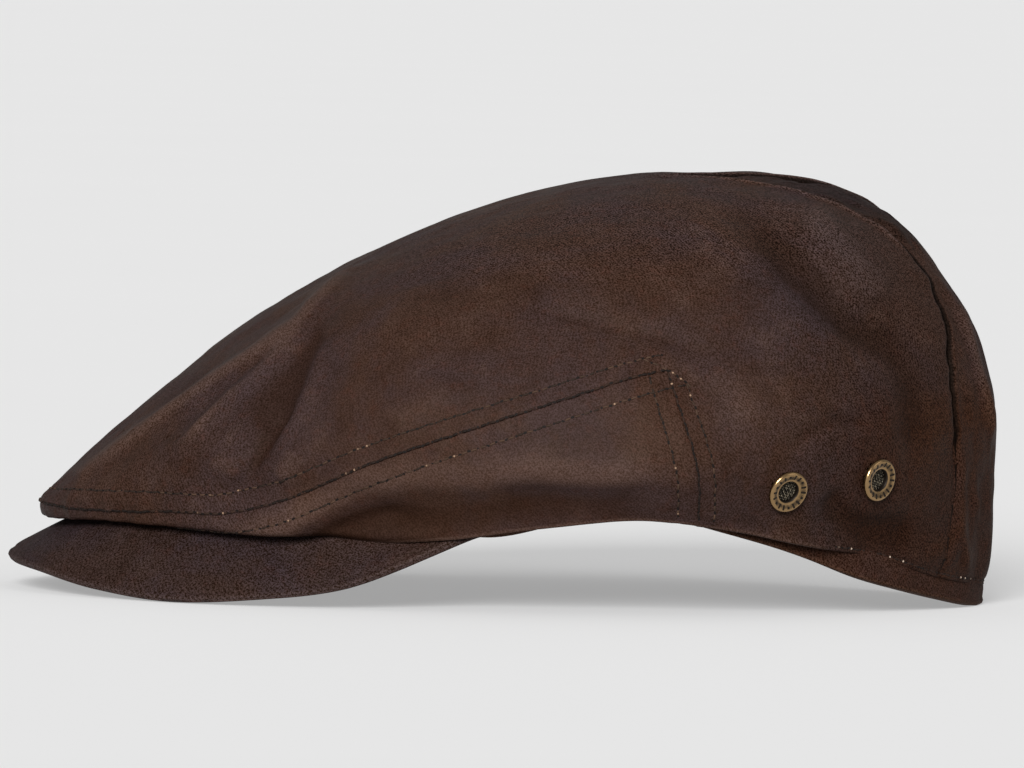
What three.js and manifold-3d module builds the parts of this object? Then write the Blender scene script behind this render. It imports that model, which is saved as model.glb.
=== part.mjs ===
// A waxed cotton cap with a curved peak, resting by itself on the peak's two low edges and the back of its
// band. Millimetres, +Z up. The cap faces -X, its left side is -Y, and the floor is z = 0.

import * as THREE from 'three';
import { mergeVertices } from 'three/addons/utils/BufferGeometryUtils.js';
import Module from 'manifold-3d';

const wasm = await Module();
wasm.setup();

const table = (columns, ...rows) =>
  rows.map((row) => Object.fromEntries(columns.map((name, i) => [name, row[i]])));

// Cloth, board and clearances
const CLOTH = 2.0;
const GAP = 0.3;
const PEAK_THICK = 3.4;
const PEAK_EDGE_THICK = 2.0;
const BAND_THICK = 1.8;
const BAND_WIDTH = 25;

// Crown rings from the hem to the one below the apex. Front and back are points of the centre line, side is
// the widest point. A full value below 0 draws the plan of that end in to a rounded point.
const CROWN_RINGS = table(
  ['frontX', 'frontZ', 'frontFull', 'sideX', 'sideY', 'sideZ', 'backX', 'backZ', 'backFull'],
  [-126.4, 17.4, -0.22, 38, 95, 26.2, 134.6, 5.8, -0.33],
  [-129.3, 20.6, -0.2, 36, 99, 34, 136.8, 18, -0.33],
  [-129.6, 24.2, -0.18, 34, 101, 43, 137.2, 38, -0.33],
  [-125.5, 29, -0.16, 32, 100.5, 53, 136.5, 55, -0.32],
  [-112.5, 41.8, -0.12, 30, 97, 65, 133, 68.5, -0.3],
  [-96, 56.4, -0.08, 30, 90, 78, 127.2, 82.5, -0.27],
  [-74, 74, -0.04, 32, 79, 91, 118.8, 95.2, -0.23],
  [-46, 90.2, 0, 36, 62, 104, 106.5, 107.6, -0.18],
  [-12, 106, 0, 41, 40, 113, 90, 114.4, -0.12],
  [20, 115, 0, 46, 19, 117.2, 71, 117.2, -0.06],
);
const APEX = { x: 49, z: 118.1 };

// Height of the hem along the cap
const HEM = table(
  ['x', 'z'],
  [-126.4, 17.4],
  [-90, 14.5],
  [-60, 15.2],
  [-20, 19],
  [10, 23.4],
  [38, 26.2],
  [58, 24.4],
  [85, 19],
  [105, 15],
  [120, 9.6],
  [134.6, 5.8],
);

// The soft top leans a little towards the left side between these heights
const LEAN = 0.07;
const LEAN_FROM = 30;
const LEAN_FULL = 100;

// Main folds of the cloth, seen from the side: a line from one point to the other, how far it stands proud,
// or sinks where that is below 0, and how wide it spreads. Side -1 is the left, 1 the right, 0 both.
const FOLDS = table(
  ['side', 'fromX', 'fromZ', 'toX', 'toZ', 'height', 'width'],
  [-1, -47, 86, -91, 42, 1.6, 9],
  [-1, -51, 63, -70, 33, -1.7, 6.5],
  [-1, 49, 69, 57, 48, -1.6, 5.5],
  [-1, 78, 93, 98, 83, -1.3, 7],
  [1, -40, 84, -84, 46, 1.4, 10],
  [1, -46, 66, -62, 38, -1.5, 7],
  [1, 60, 72, 74, 48, -1.4, 7],
  [1, 72, 112, 112, 98, 2.8, 14],
  [0, 60, 47, 104, 50, 2.4, 16],
  [0, 70, 24, 97, 18, -2.2, 13],
);
const FOLD_SIDE_BLEND = 30;

// Seam over the front band, seen from the side, then the side seam from its corner down to the hem
const BAND_SEAM = table(
  ['x', 'z'],
  [-146, 23.6],
  [-112, 23.8],
  [-88, 25.2],
  [-74, 25.6],
  [-58, 30.2],
  [-38, 39.4],
  [-16, 47.8],
  [8, 56.2],
  [30, 63.6],
  [43.3, 67.3],
);
const SIDE_SEAM = table(['x', 'z'], [43.3, 67.3], [46.8, 56.2], [51.2, 41.4], [52.4, 26.2], [52.4, -20]);
const SEAM_SAMPLES = 3;
const CUT_HALF = 140;
const PLUG_HEIGHT = 80;
const PEAK_ROOM = 14;

// Back gusset: points of the cap's back line with half the gusset's width there, and the hub of its cut
const GUSSET = table(
  ['x', 'z', 'half'],
  [43, 118, 0.4],
  [66, 117, 8],
  [89, 114, 15],
  [106, 107, 16.5],
  [118.5, 94.5, 18],
  [127.5, 82.5, 24],
  [134, 68.5, 31],
  [137, 54, 35],
  [137, 32, 36.5],
  [134.6, -4, 37],
);
const GUSSET_HUB = { x: 40, z: 44 };
const GUSSET_INNER = 0.45;
const GUSSET_OUTER = 1.3;

// Peak: an ellipse in plan for its free edge, whose height is given by how far it turns from the tip
const PEAK = { centreX: -6, long: 132, wide: 86, endZ: 22, innerZ: 38, rise: 0.86, tuck: 4 };
const PEAK_EDGE = table(
  ['turn', 'z'],
  [0, 7.6],
  [20, 6],
  [36, 2.2],
  [50, 0],
  [64, 2],
  [73, 5],
  [80, 10.8],
  [90, 22],
);

// Line of the head opening: outer face of the band, and the height of the band's lower edge along the cap
const HEAD_LINE = { frontX: -77.7, frontFull: 0.1, sideX: 38, sideY: 89, backX: 132.3, backFull: -0.33 };
const BAND_BOTTOM = table(
  ['x', 'z'],
  [-78, 33],
  [-50, 27],
  [-6, 20.5],
  [20, 26],
  [38, 29],
  [55, 24.4],
  [72, 19.6],
  [83, 15.8],
  [97, 10.6],
  [111, 7],
  [122, 3.8],
  [130.6, 0],
  [133, 0],
);

// Vent eyelets, placed as seen from the side, and the half section of one brass ring about its axis
const EYELETS = table(['name', 'x', 'z'], ['front', 76.8, 35], ['rear', 102, 37.5]);
const RING_SECTION = table(
  ['radius', 'height'],
  [2.9, -2.9],
  [4.1, -2.9],
  [4.1, 0.3],
  [5.75, 0.3],
  [5.95, 0.9],
  [5.4, 1.5],
  [4.65, 1.4],
  [3.75, 1.05],
  [3.25, 1.15],
  [2.9, 0.8],
);
const RING_SIDES = 20;
const GAUZE_SIDES = 16;
const GAUZE = { thick: 0.8, top: -0.5 };
const HOLE_DEPTH = 6 * CLOTH;

// Moves the whole cap along X so that its box is centred over the origin
const CENTRING = 0.72;

// How finely the curved pieces are faceted
const CROWN_COLUMNS = 72;
const CROWN_ROWS = 14;
const ROW_CROWDING = 1.25;
const PEAK_COLUMNS = 36;
const PEAK_ROWS = 6;
const PEAK_CROWDING = 1.6;
const BAND_COLUMNS = 72;

// Small steps for slopes, and the search for a place of the crown: where it starts and how long it goes on
const NORMAL_STEP = 0.02;
const SEARCH = { ring: 2, height: 1.5, widest: 0.95, step: 0.01, rounds: 30 };
const MERGE_WITHIN = 1e-4;

const CLOTH_LOOK = { color: 0x54403a, roughness: 0.62, metalness: 0 };
const FRONT_LOOK = { color: 0x5d4841, roughness: 0.62, metalness: 0 };
const GUSSET_LOOK = { color: 0x4b3730, roughness: 0.62, metalness: 0 };
const PEAK_LOOK = { color: 0x503d36, roughness: 0.6, metalness: 0 };
const BAND_LOOK = { color: 0x45332b, roughness: 0.75, metalness: 0 };
const BRASS_LOOK = { color: 0x9a7a4c, roughness: 0.42, metalness: 1 };
const GAUZE_LOOK = { color: 0x1c1a19, roughness: 0.6, metalness: 0.6 };

// Small sums

const clamp = (value, low, high) => Math.min(high, Math.max(low, value));

function smoothStep(low, high, value) {
  const t = clamp((value - low) / (high - low), 0, 1);
  return t * t * (3 - 2 * t);
}

// A smooth line through the rows of a table, read at one value of its first column
function through(rows, along, key, value) {
  const last = rows.length - 1;
  const at = clamp(value, rows[0][along], rows[last][along]);
  let i = 0;
  while (i < last - 1 && rows[i + 1][along] < at) i += 1;
  const slope = (k) => {
    const a = rows[Math.max(k - 1, 0)];
    const b = rows[Math.min(k + 1, last)];
    return (b[key] - a[key]) / (b[along] - a[along]);
  };
  const width = rows[i + 1][along] - rows[i][along];
  const t = (at - rows[i][along]) / width;
  const h00 = (1 + 2 * t) * (1 - t) ** 2;
  const h10 = t * (1 - t) ** 2 * width;
  const h01 = t * t * (3 - 2 * t);
  const h11 = t * t * (t - 1) * width;
  return h00 * rows[i][key] + h10 * slope(i) + h01 * rows[i + 1][key] + h11 * slope(i + 1);
}

function catmull(a, b, c, d, t) {
  const cubic = -a + 3 * b - 3 * c + d;
  const square = 2 * a - 5 * b + 4 * c - d;
  return 0.5 * (2 * b + (c - a) * t + square * t * t + cubic * t * t * t);
}

// An egg-shaped closed line in plan. Turn 0 is the centre of the back, and a quarter turn the right side.
function eggPoint(line, turn) {
  const c = Math.cos(turn);
  const reach = c < 0 ? line.sideX - line.frontX : line.backX - line.sideX;
  const full = c < 0 ? line.frontFull : line.backFull;
  return { x: line.sideX + reach * c, y: line.sideY * Math.sin(turn) * (1 + full * c * c) };
}

// Half the width of that line at one place along the front half
function eggHalfWidth(line, x) {
  const c = clamp((x - line.sideX) / (line.sideX - line.frontX), -1, 0);
  return line.sideY * Math.sqrt(1 - c * c) * (1 + line.frontFull * c * c);
}

// The crown's outer surface

function ringPoint(index, turn) {
  const ring = CROWN_RINGS[index];
  const c = Math.cos(turn);
  const { x, y } = eggPoint(ring, turn);
  if (index === 0) return new THREE.Vector3(x, y, through(HEM, 'x', 'z', x));
  const endZ = c < 0 ? ring.frontZ : ring.backZ;
  return new THREE.Vector3(x, y, ring.sideZ + (endZ - ring.sideZ) * c * c);
}

// Height 0 is the hem and height CROWN_RINGS.length the apex
function crownBase(turn, height) {
  const count = CROWN_RINGS.length;
  const apex = new THREE.Vector3(APEX.x, 0, APEX.z);
  const at = (k) => {
    if (k < 0) return ringPoint(0, turn).multiplyScalar(2).sub(ringPoint(1, turn));
    if (k < count) return ringPoint(k, turn);
    return k === count ? apex : ringPoint(2 * count - k, turn + Math.PI);
  };
  const k = clamp(Math.floor(height), 0, count - 1);
  const [a, b, c, d] = [at(k - 1), at(k), at(k + 1), at(k + 2)];
  const t = height - k;
  const point = new THREE.Vector3(
    catmull(a.x, b.x, c.x, d.x, t),
    catmull(a.y, b.y, c.y, d.y, t),
    catmull(a.z, b.z, c.z, d.z, t),
  );
  point.z += LEAN * point.y * smoothStep(LEAN_FROM, LEAN_FULL, point.z);
  return point;
}

function normalOf(surface, turn, height) {
  const step = NORMAL_STEP;
  const low = Math.max(height - step, 0);
  const high = Math.min(height + step, CROWN_RINGS.length - step);
  if (high <= low) return new THREE.Vector3(0, 0, 1);
  const middle = (low + high) / 2;
  const round = surface(turn + step, middle).sub(surface(turn - step, middle));
  const up = surface(turn, high).sub(surface(turn, low));
  return round.cross(up).normalize();
}

function foldHeight(point) {
  let sum = 0;
  for (const fold of FOLDS) {
    const alongX = fold.toX - fold.fromX;
    const alongZ = fold.toZ - fold.fromZ;
    const length = alongX * alongX + alongZ * alongZ;
    const t = clamp(((point.x - fold.fromX) * alongX + (point.z - fold.fromZ) * alongZ) / length, 0, 1);
    const away = Math.hypot(point.x - fold.fromX - alongX * t, point.z - fold.fromZ - alongZ * t);
    const share = fold.side === 0 ? 1 : smoothStep(0, FOLD_SIDE_BLEND, point.y * fold.side);
    sum += fold.height * share * Math.exp(-((away / fold.width) ** 2));
  }
  return sum;
}

function crownSurface(turn, height) {
  const base = crownBase(turn, height);
  return base.clone().addScaledVector(normalOf(crownBase, turn, height), foldHeight(base));
}

// Where the crown's surface is at one place seen from the side, by Newton's steps from a rough start
function findOnCrown(x, z, side) {
  const step = SEARCH.step;
  const { sideX, backX } = CROWN_RINGS[SEARCH.ring];
  const start = clamp((x - sideX) / (backX - sideX), -SEARCH.widest, SEARCH.widest);
  let turn = side * Math.acos(start);
  let height = SEARCH.height;
  for (let n = 0; n < SEARCH.rounds; n += 1) {
    const p = crownSurface(turn, height);
    const byTurn = crownSurface(turn + step, height).sub(p).divideScalar(step);
    const byHeight = crownSurface(turn, height + step).sub(p).divideScalar(step);
    const det = byTurn.x * byHeight.z - byHeight.x * byTurn.z;
    turn += (byHeight.z * (x - p.x) - byHeight.x * (z - p.z)) / det;
    height += (byTurn.x * (z - p.z) - byTurn.z * (x - p.x)) / det;
  }
  return { point: crownSurface(turn, height), normal: normalOf(crownSurface, turn, height) };
}

// Closed solids from grids of points

function geometryFrom(points, faces) {
  const geometry = new THREE.BufferGeometry();
  geometry.setAttribute('position', new THREE.Float32BufferAttribute(points.flatMap((p) => p.toArray()), 3));
  geometry.setIndex(faces.flat());
  return geometry;
}

function solidOf(geometry) {
  const bare = geometry.clone();
  bare.deleteAttribute('normal');
  bare.deleteAttribute('uv');
  const merged = mergeVertices(bare, MERGE_WITHIN);
  const vertProperties = new Float32Array(merged.attributes.position.array);
  const triVerts = new Uint32Array(merged.index.array);
  return new wasm.Manifold(new wasm.Mesh({ numProp: 3, vertProperties, triVerts }));
}

function geometryOf(solid) {
  const mesh = solid.getMesh();
  const geometry = new THREE.BufferGeometry();
  geometry.setAttribute('position', new THREE.Float32BufferAttribute(mesh.vertProperties, 3));
  geometry.setIndex(Array.from(mesh.triVerts));
  return geometry;
}

// A closed ring of equal sections, each a loop of points that runs anticlockwise where it is cut
function ringSolid(sections) {
  const count = sections.length;
  const size = sections[0].length;
  const faces = [];
  for (let i = 0; i < count; i += 1) {
    for (let j = 0; j < size; j += 1) {
      const a = i * size + j;
      const b = i * size + ((j + 1) % size);
      const c = ((i + 1) % count) * size + ((j + 1) % size);
      const d = ((i + 1) % count) * size + j;
      faces.push([a, c, b], [a, d, c]);
    }
  }
  return geometryFrom(sections.flat(), faces);
}

// A bar of equal sections with flat ends
function barSolid(sections) {
  const size = sections[0].length;
  const last = (sections.length - 1) * size;
  const faces = [];
  for (let i = 0; i < sections.length - 1; i += 1) {
    for (let j = 0; j < size; j += 1) {
      const a = i * size + j;
      const b = i * size + ((j + 1) % size);
      faces.push([a, b + size, b], [a, a + size, b + size]);
    }
  }
  for (let j = 1; j < size - 1; j += 1) {
    faces.push([0, j, j + 1]);
    faces.push([last, last + j + 1, last + j]);
  }
  return geometryFrom(sections.flat(), faces);
}

// The whole crown as one shell of cloth, before it is cut along its seams
function crownShell() {
  const count = CROWN_RINGS.length;
  const points = [];
  const faces = [];
  for (const depth of [0, CLOTH]) {
    for (let j = 0; j < CROWN_ROWS; j += 1) {
      const height = count * (j / CROWN_ROWS) ** ROW_CROWDING;
      for (let i = 0; i < CROWN_COLUMNS; i += 1) {
        const turn = (2 * Math.PI * i) / CROWN_COLUMNS;
        const normal = normalOf(crownSurface, turn, height);
        points.push(crownSurface(turn, height).addScaledVector(normal, -depth));
      }
    }
    points.push(new THREE.Vector3(APEX.x, 0, APEX.z - depth));
  }
  const layer = CROWN_COLUMNS * CROWN_ROWS + 1;
  for (let i = 0; i < CROWN_COLUMNS; i += 1) {
    const next = (i + 1) % CROWN_COLUMNS;
    for (let j = 0; j < CROWN_ROWS - 1; j += 1) {
      const a = j * CROWN_COLUMNS + i;
      const b = j * CROWN_COLUMNS + next;
      const c = b + CROWN_COLUMNS;
      const d = a + CROWN_COLUMNS;
      faces.push([a, b, c], [a, c, d]);
      faces.push([layer + a, layer + c, layer + b], [layer + a, layer + d, layer + c]);
    }
    const top = (CROWN_ROWS - 1) * CROWN_COLUMNS;
    faces.push([top + i, top + next, layer - 1]);
    faces.push([layer + top + i, 2 * layer - 1, layer + top + next]);
    faces.push([i, layer + i, layer + next], [i, layer + next, next]);
  }
  return solidOf(geometryFrom(points, faces));
}

// Seam lines as outlines in the side view

function smoothLine(rows) {
  const points = [];
  for (let i = 0; i < rows.length - 1; i += 1) {
    const [a, b, c, d] = [i - 1, i, i + 1, i + 2].map((k) => rows[clamp(k, 0, rows.length - 1)]);
    for (let n = 0; n < SEAM_SAMPLES; n += 1) {
      const t = n / SEAM_SAMPLES;
      points.push(new THREE.Vector2(catmull(a.x, b.x, c.x, d.x, t), catmull(a.z, b.z, c.z, d.z, t)));
    }
  }
  const end = rows[rows.length - 1];
  points.push(new THREE.Vector2(end.x, end.z));
  return points;
}

// The side view below the seam, moved out by one distance along the seam, as a solid right across the cap
function bandCutter(grow) {
  const line = [...smoothLine(BAND_SEAM), ...smoothLine(SIDE_SEAM).slice(1)];
  const moved = line.map((point, i) => {
    const before = line[Math.max(i - 1, 0)];
    const after = line[Math.min(i + 1, line.length - 1)];
    const along = after.clone().sub(before).normalize();
    return new THREE.Vector2(point.x - along.y * grow, point.y + along.x * grow);
  });
  const shape = new THREE.Shape([...moved, new THREE.Vector2(moved[0].x, moved[moved.length - 1].y)]);
  const geometry = new THREE.ExtrudeGeometry(shape, { depth: 2 * CUT_HALF, bevelEnabled: false });
  return solidOf(geometry.rotateX(Math.PI / 2).translate(0, CUT_HALF, 0));
}

// A fan about the hub whose width follows the gusset's
function gussetCutter(grow) {
  const between = (row, share, y) =>
    new THREE.Vector3(
      GUSSET_HUB.x + (row.x - GUSSET_HUB.x) * share,
      y,
      GUSSET_HUB.z + (row.z - GUSSET_HUB.z) * share,
    );
  const sections = GUSSET.map((row) => {
    const half = row.half + grow;
    return [
      between(row, GUSSET_OUTER, -half),
      between(row, GUSSET_OUTER, half),
      between(row, GUSSET_INNER, half),
      between(row, GUSSET_INNER, -half),
    ];
  });
  return solidOf(barSolid(sections));
}

// The peak: rows run from its seam at the head opening to its free edge

function peakPoint(turn, share) {
  const c = Math.cos(turn);
  const edgeZ = through(PEAK_EDGE, 'turn', 'z', Math.abs(THREE.MathUtils.radToDeg(turn)));
  const outerX = PEAK.centreX - PEAK.long * c;
  const innerX = PEAK.centreX + (HEAD_LINE.frontX + PEAK.tuck - PEAK.centreX) * c;
  const outerY = PEAK.wide * Math.sin(turn);
  const innerY = Math.sign(turn) * (eggHalfWidth(HEAD_LINE, innerX) - PEAK.tuck);
  const innerZ = PEAK.endZ + (PEAK.innerZ - PEAK.endZ) * c;
  return new THREE.Vector3(
    innerX + (outerX - innerX) * share,
    innerY + (outerY - innerY) * share,
    edgeZ + (innerZ - edgeZ) * (1 - share) ** PEAK.rise,
  );
}

function peakNormal(turn, share) {
  const step = NORMAL_STEP;
  const limit = Math.PI / 2;
  const round = peakPoint(clamp(turn + step, -limit, limit), share);
  round.sub(peakPoint(clamp(turn - step, -limit, limit), share));
  const out = peakPoint(turn, Math.min(share + step, 1)).sub(peakPoint(turn, Math.max(share - step, 0)));
  const normal = round.cross(out).normalize();
  return normal.z < 0 ? normal.negate() : normal;
}

// The peak of one thickness, with its underside dropped straight down by a depth
function peakSolid(thick, edgeThick, drop, lift) {
  const sections = [];
  for (let i = 0; i <= PEAK_COLUMNS; i += 1) {
    const turn = Math.PI * (i / PEAK_COLUMNS - 0.5);
    const top = [];
    const under = [];
    for (let j = 0; j <= PEAK_ROWS; j += 1) {
      const share = 1 - (1 - j / PEAK_ROWS) ** PEAK_CROWDING;
      const point = peakPoint(turn, share);
      const normal = peakNormal(turn, share);
      const half = (j === PEAK_ROWS ? edgeThick : thick) / 2;
      top.push(point.clone().addScaledVector(normal, half));
      under.unshift(point.clone().addScaledVector(normal, -half));
    }
    for (const p of under) p.z -= drop;
    for (const p of [...top, ...under]) p.z += lift;
    sections.push([...top, ...under]);
  }
  return barSolid(sections);
}

// How far the peak has to be lifted for its low edges to touch the floor
function peakLift() {
  const geometry = peakSolid(PEAK_THICK, PEAK_EDGE_THICK, 0, 0);
  geometry.computeBoundingBox();
  return -geometry.boundingBox.min.z;
}

// The space inside the head line and its clearance, as a plug that the peak is cut back to
function headPlug() {
  const line = {
    ...HEAD_LINE,
    frontX: HEAD_LINE.frontX - GAP,
    sideY: HEAD_LINE.sideY + GAP,
    backX: HEAD_LINE.backX + GAP,
  };
  const outline = [];
  for (let i = 0; i < BAND_COLUMNS; i += 1) {
    const { x, y } = eggPoint(line, (2 * Math.PI * i) / BAND_COLUMNS);
    outline.push(new THREE.Vector2(x, y));
  }
  const shape = new THREE.Shape(outline);
  return solidOf(new THREE.ExtrudeGeometry(shape, { depth: PLUG_HEIGHT, bevelEnabled: false }));
}

// The head band: an upright strip whose lower edge follows the table
function headBand() {
  const sections = [];
  const inner = {
    ...HEAD_LINE,
    frontX: HEAD_LINE.frontX + BAND_THICK,
    sideY: HEAD_LINE.sideY - BAND_THICK,
    backX: HEAD_LINE.backX - BAND_THICK,
  };
  for (let i = 0; i < BAND_COLUMNS; i += 1) {
    const turn = (2 * Math.PI * i) / BAND_COLUMNS;
    const out = eggPoint(HEAD_LINE, turn);
    const within = eggPoint(inner, turn);
    const low = Math.max(0, through(BAND_BOTTOM, 'x', 'z', out.x));
    sections.push([
      new THREE.Vector3(within.x, within.y, low),
      new THREE.Vector3(out.x, out.y, low),
      new THREE.Vector3(out.x, out.y, low + BAND_WIDTH),
      new THREE.Vector3(within.x, within.y, low + BAND_WIDTH),
    ]);
  }
  return ringSolid(sections);
}

// Eyelets

function eyeletPlaces() {
  const places = [];
  for (const side of [-1, 1]) {
    for (const row of EYELETS) {
      const name = `${side < 0 ? 'left' : 'right'}_${row.name}`;
      places.push({ name, ...findOnCrown(row.x, row.z, side) });
    }
  }
  return places;
}

// Turns a piece made about the Y axis so that it faces out of the cloth at one place
function placed(geometry, place) {
  const turn = new THREE.Quaternion().setFromUnitVectors(new THREE.Vector3(0, 1, 0), place.normal);
  return geometry.applyQuaternion(turn).translate(...place.point.toArray());
}

function brassRing() {
  const profile = [...RING_SECTION, RING_SECTION[0]].map((row) => new THREE.Vector2(row.radius, row.height));
  return new THREE.LatheGeometry(profile, RING_SIDES);
}

function gauzeDisc() {
  const radius = RING_SECTION[0].radius - GAP;
  const disc = new THREE.CylinderGeometry(radius, radius, GAUZE.thick, GAUZE_SIDES);
  return disc.translate(0, GAUZE.top - GAUZE.thick / 2, 0);
}

function eyeletHole() {
  const radius = RING_SECTION[1].radius + GAP;
  return new THREE.CylinderGeometry(radius, radius, HOLE_DEPTH, RING_SIDES);
}

// The whole cap

const cap = new THREE.Group();
cap.position.x = CENTRING;

function add(name, geometry, look) {
  const bare = geometry.index ? geometry : mergeVertices(geometry);
  bare.computeVertexNormals();
  const mesh = new THREE.Mesh(bare, new THREE.MeshStandardMaterial(look));
  mesh.name = name;
  cap.add(mesh);
}

const lift = peakLift();
const places = eyeletPlaces();
const peakRoom = peakSolid(PEAK_THICK + 2 * GAP, PEAK_THICK + 2 * GAP, PEAK_ROOM, lift);
let shell = crownShell().subtract(solidOf(peakRoom));
for (const place of places) shell = shell.subtract(solidOf(placed(eyeletHole(), place)));

const peak = solidOf(peakSolid(PEAK_THICK, PEAK_EDGE_THICK, 0, lift)).subtract(headPlug());
const gusset = shell.intersect(gussetCutter(-GAP / 2));
const rest = shell.subtract(gussetCutter(GAP / 2));
const front = rest.intersect(bandCutter(-GAP / 2));
const crown = rest.subtract(bandCutter(GAP / 2));

add('crown_top', geometryOf(crown), CLOTH_LOOK);
add('front_band', geometryOf(front), FRONT_LOOK);
add('back_gusset', geometryOf(gusset), GUSSET_LOOK);
add('peak', geometryOf(peak), PEAK_LOOK);
add('head_band', headBand(), BAND_LOOK);
for (const place of places) {
  add(`eyelet_${place.name}`, placed(brassRing(), place), BRASS_LOOK);
  add(`mesh_${place.name}`, placed(gauzeDisc(), place), GAUZE_LOOK);
}

export default cap;
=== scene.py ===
"""The looks of a waxed cotton cap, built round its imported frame.

Lengths are in millimetres up to the meshes, which are in metres. The cap faces -X, its left side is -Y, and
the floor is z = 0. The shape tables are the CAD model's, but for the fine folds, which are only here, and for
the head band's lower edge, which is a little lower here at the back.
"""

import math

import bpy
import numpy as np
from mathutils import Matrix, Vector, noise
from mathutils.bvhtree import BVHTree


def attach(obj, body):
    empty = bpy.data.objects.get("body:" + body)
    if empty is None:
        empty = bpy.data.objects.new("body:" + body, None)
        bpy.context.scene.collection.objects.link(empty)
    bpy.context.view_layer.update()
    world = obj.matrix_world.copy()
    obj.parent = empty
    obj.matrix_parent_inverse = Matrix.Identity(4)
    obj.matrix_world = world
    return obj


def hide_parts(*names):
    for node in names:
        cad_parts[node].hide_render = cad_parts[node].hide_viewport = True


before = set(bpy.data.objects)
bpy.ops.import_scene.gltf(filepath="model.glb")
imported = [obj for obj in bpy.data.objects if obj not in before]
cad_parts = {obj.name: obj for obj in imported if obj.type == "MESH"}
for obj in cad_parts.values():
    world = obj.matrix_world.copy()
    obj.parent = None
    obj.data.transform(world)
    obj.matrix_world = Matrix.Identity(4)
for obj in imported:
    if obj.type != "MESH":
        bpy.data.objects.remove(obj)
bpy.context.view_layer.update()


def table(columns, *rows):
    """Rows under named columns, as one array for each column."""
    return dict(zip(columns.split(), np.array(rows, float).T))


# Shape tables

MM = 0.001
CENTRING = 0.72
CLOTH = 2.0
GAP = 0.3
PEAK_THICK = 3.4
PEAK_EDGE_THICK = 2.0
PEAK_COLUMNS_IN_CAD = 36
BAND_THICK = 1.8
BAND_WIDTH = 25.0
ROLL_OVER_PEAK = table(
    "x share",
    (-140, 0), (-125, 0), (-102, 0.6), (-65, 1), (-49, 0.8), (-38, 0.3), (-28, 0), (0, 0),
)
ROLL_HEIGHT = 2.8
TUCK = {"to_x": -5, "full_x": -60, "below_z": 42, "depth": 4.6, "high": 3.8, "low": 0.3}
ROLL_FADES_UP = (15, 6)

CROWN_RINGS = table(
    "front_x front_z front_full side_x side_y side_z back_x back_z back_full",
    (-126.4, 17.4, -0.22, 38, 95, 26.2, 134.6, 5.8, -0.33),
    (-129.3, 20.6, -0.2, 36, 99, 34, 136.8, 18, -0.33),
    (-129.6, 24.2, -0.18, 34, 101, 43, 137.2, 38, -0.33),
    (-125.5, 29, -0.16, 32, 100.5, 53, 136.5, 55, -0.32),
    (-112.5, 41.8, -0.12, 30, 97, 65, 133, 68.5, -0.3),
    (-96, 56.4, -0.08, 30, 90, 78, 127.2, 82.5, -0.27),
    (-74, 74, -0.04, 32, 79, 91, 118.8, 95.2, -0.23),
    (-46, 90.2, 0, 36, 62, 104, 106.5, 107.6, -0.18),
    (-12, 106, 0, 41, 40, 113, 90, 114.4, -0.12),
    (20, 115, 0, 46, 19, 117.2, 71, 117.2, -0.06),
)
RINGS = 10
APEX = np.array([49, 0, 118.1])
HEM = table(
    "x z",
    (-126.4, 17.4), (-90, 14.5), (-60, 15.2), (-20, 19), (10, 23.4), (38, 26.2),
    (58, 24.4), (85, 19), (105, 15), (120, 9.6), (134.6, 5.8),
)
LEAN = 0.07
LEAN_FROM = 30
LEAN_FULL = 100

BAND_SEAM = table(
    "x z",
    (-146, 23.6), (-112, 23.8), (-88, 25.2), (-74, 25.6), (-58, 30.2), (-38, 39.4),
    (-16, 47.8), (8, 56.2), (30, 63.6), (43.3, 67.3),
)
SIDE_SEAM = table("x z", (43.3, 67.3), (46.8, 56.2), (51.2, 41.4), (52.4, 26.2), (52.4, -20))
GUSSET = table(
    "x z half",
    (43, 118, 0.4), (66, 117, 8), (89, 114, 15), (106, 107, 16.5), (118.5, 94.5, 18),
    (127.5, 82.5, 24), (134, 68.5, 31), (137, 54, 35), (137, 32, 36.5), (134.6, -4, 37),
)
GUSSET_HUB = (40, 44)

PEAK = {"centre_x": -6, "long": 132, "wide": 86, "end_z": 22, "inner_z": 38, "rise": 0.86, "tuck": 4}
PEAK_EDGE = table("turn z", (0, 7.6), (20, 6), (36, 2.2), (50, 0), (64, 2), (73, 5), (80, 10.8), (90, 22))
HEAD_LINE = {
    "front_x": -77.7, "front_full": 0.1, "side_x": 38, "side_y": 89, "back_x": 132.3, "back_full": -0.33,
}
BAND_BOTTOM = table(
    "x z",
    (-78, 33), (-50, 27), (-6, 20.5), (20, 26), (38, 29), (55, 24.4), (72, 19.6),
    (83, 15.8), (97, 10), (111, 5.6), (122, 2.4), (130.6, 0), (133, 0),
)
EYELETS = {"front": (76.8, 35), "rear": (102, 37.5)}

# Folds of the cloth. Each has its side of the cap (-1 left, 1 right, 0 both), its height (below 0 for a
# valley), its widths above and below its line, and that line as (x, z) points of the side view. The fine
# folds of the left and of the right are listed without their side.

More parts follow.
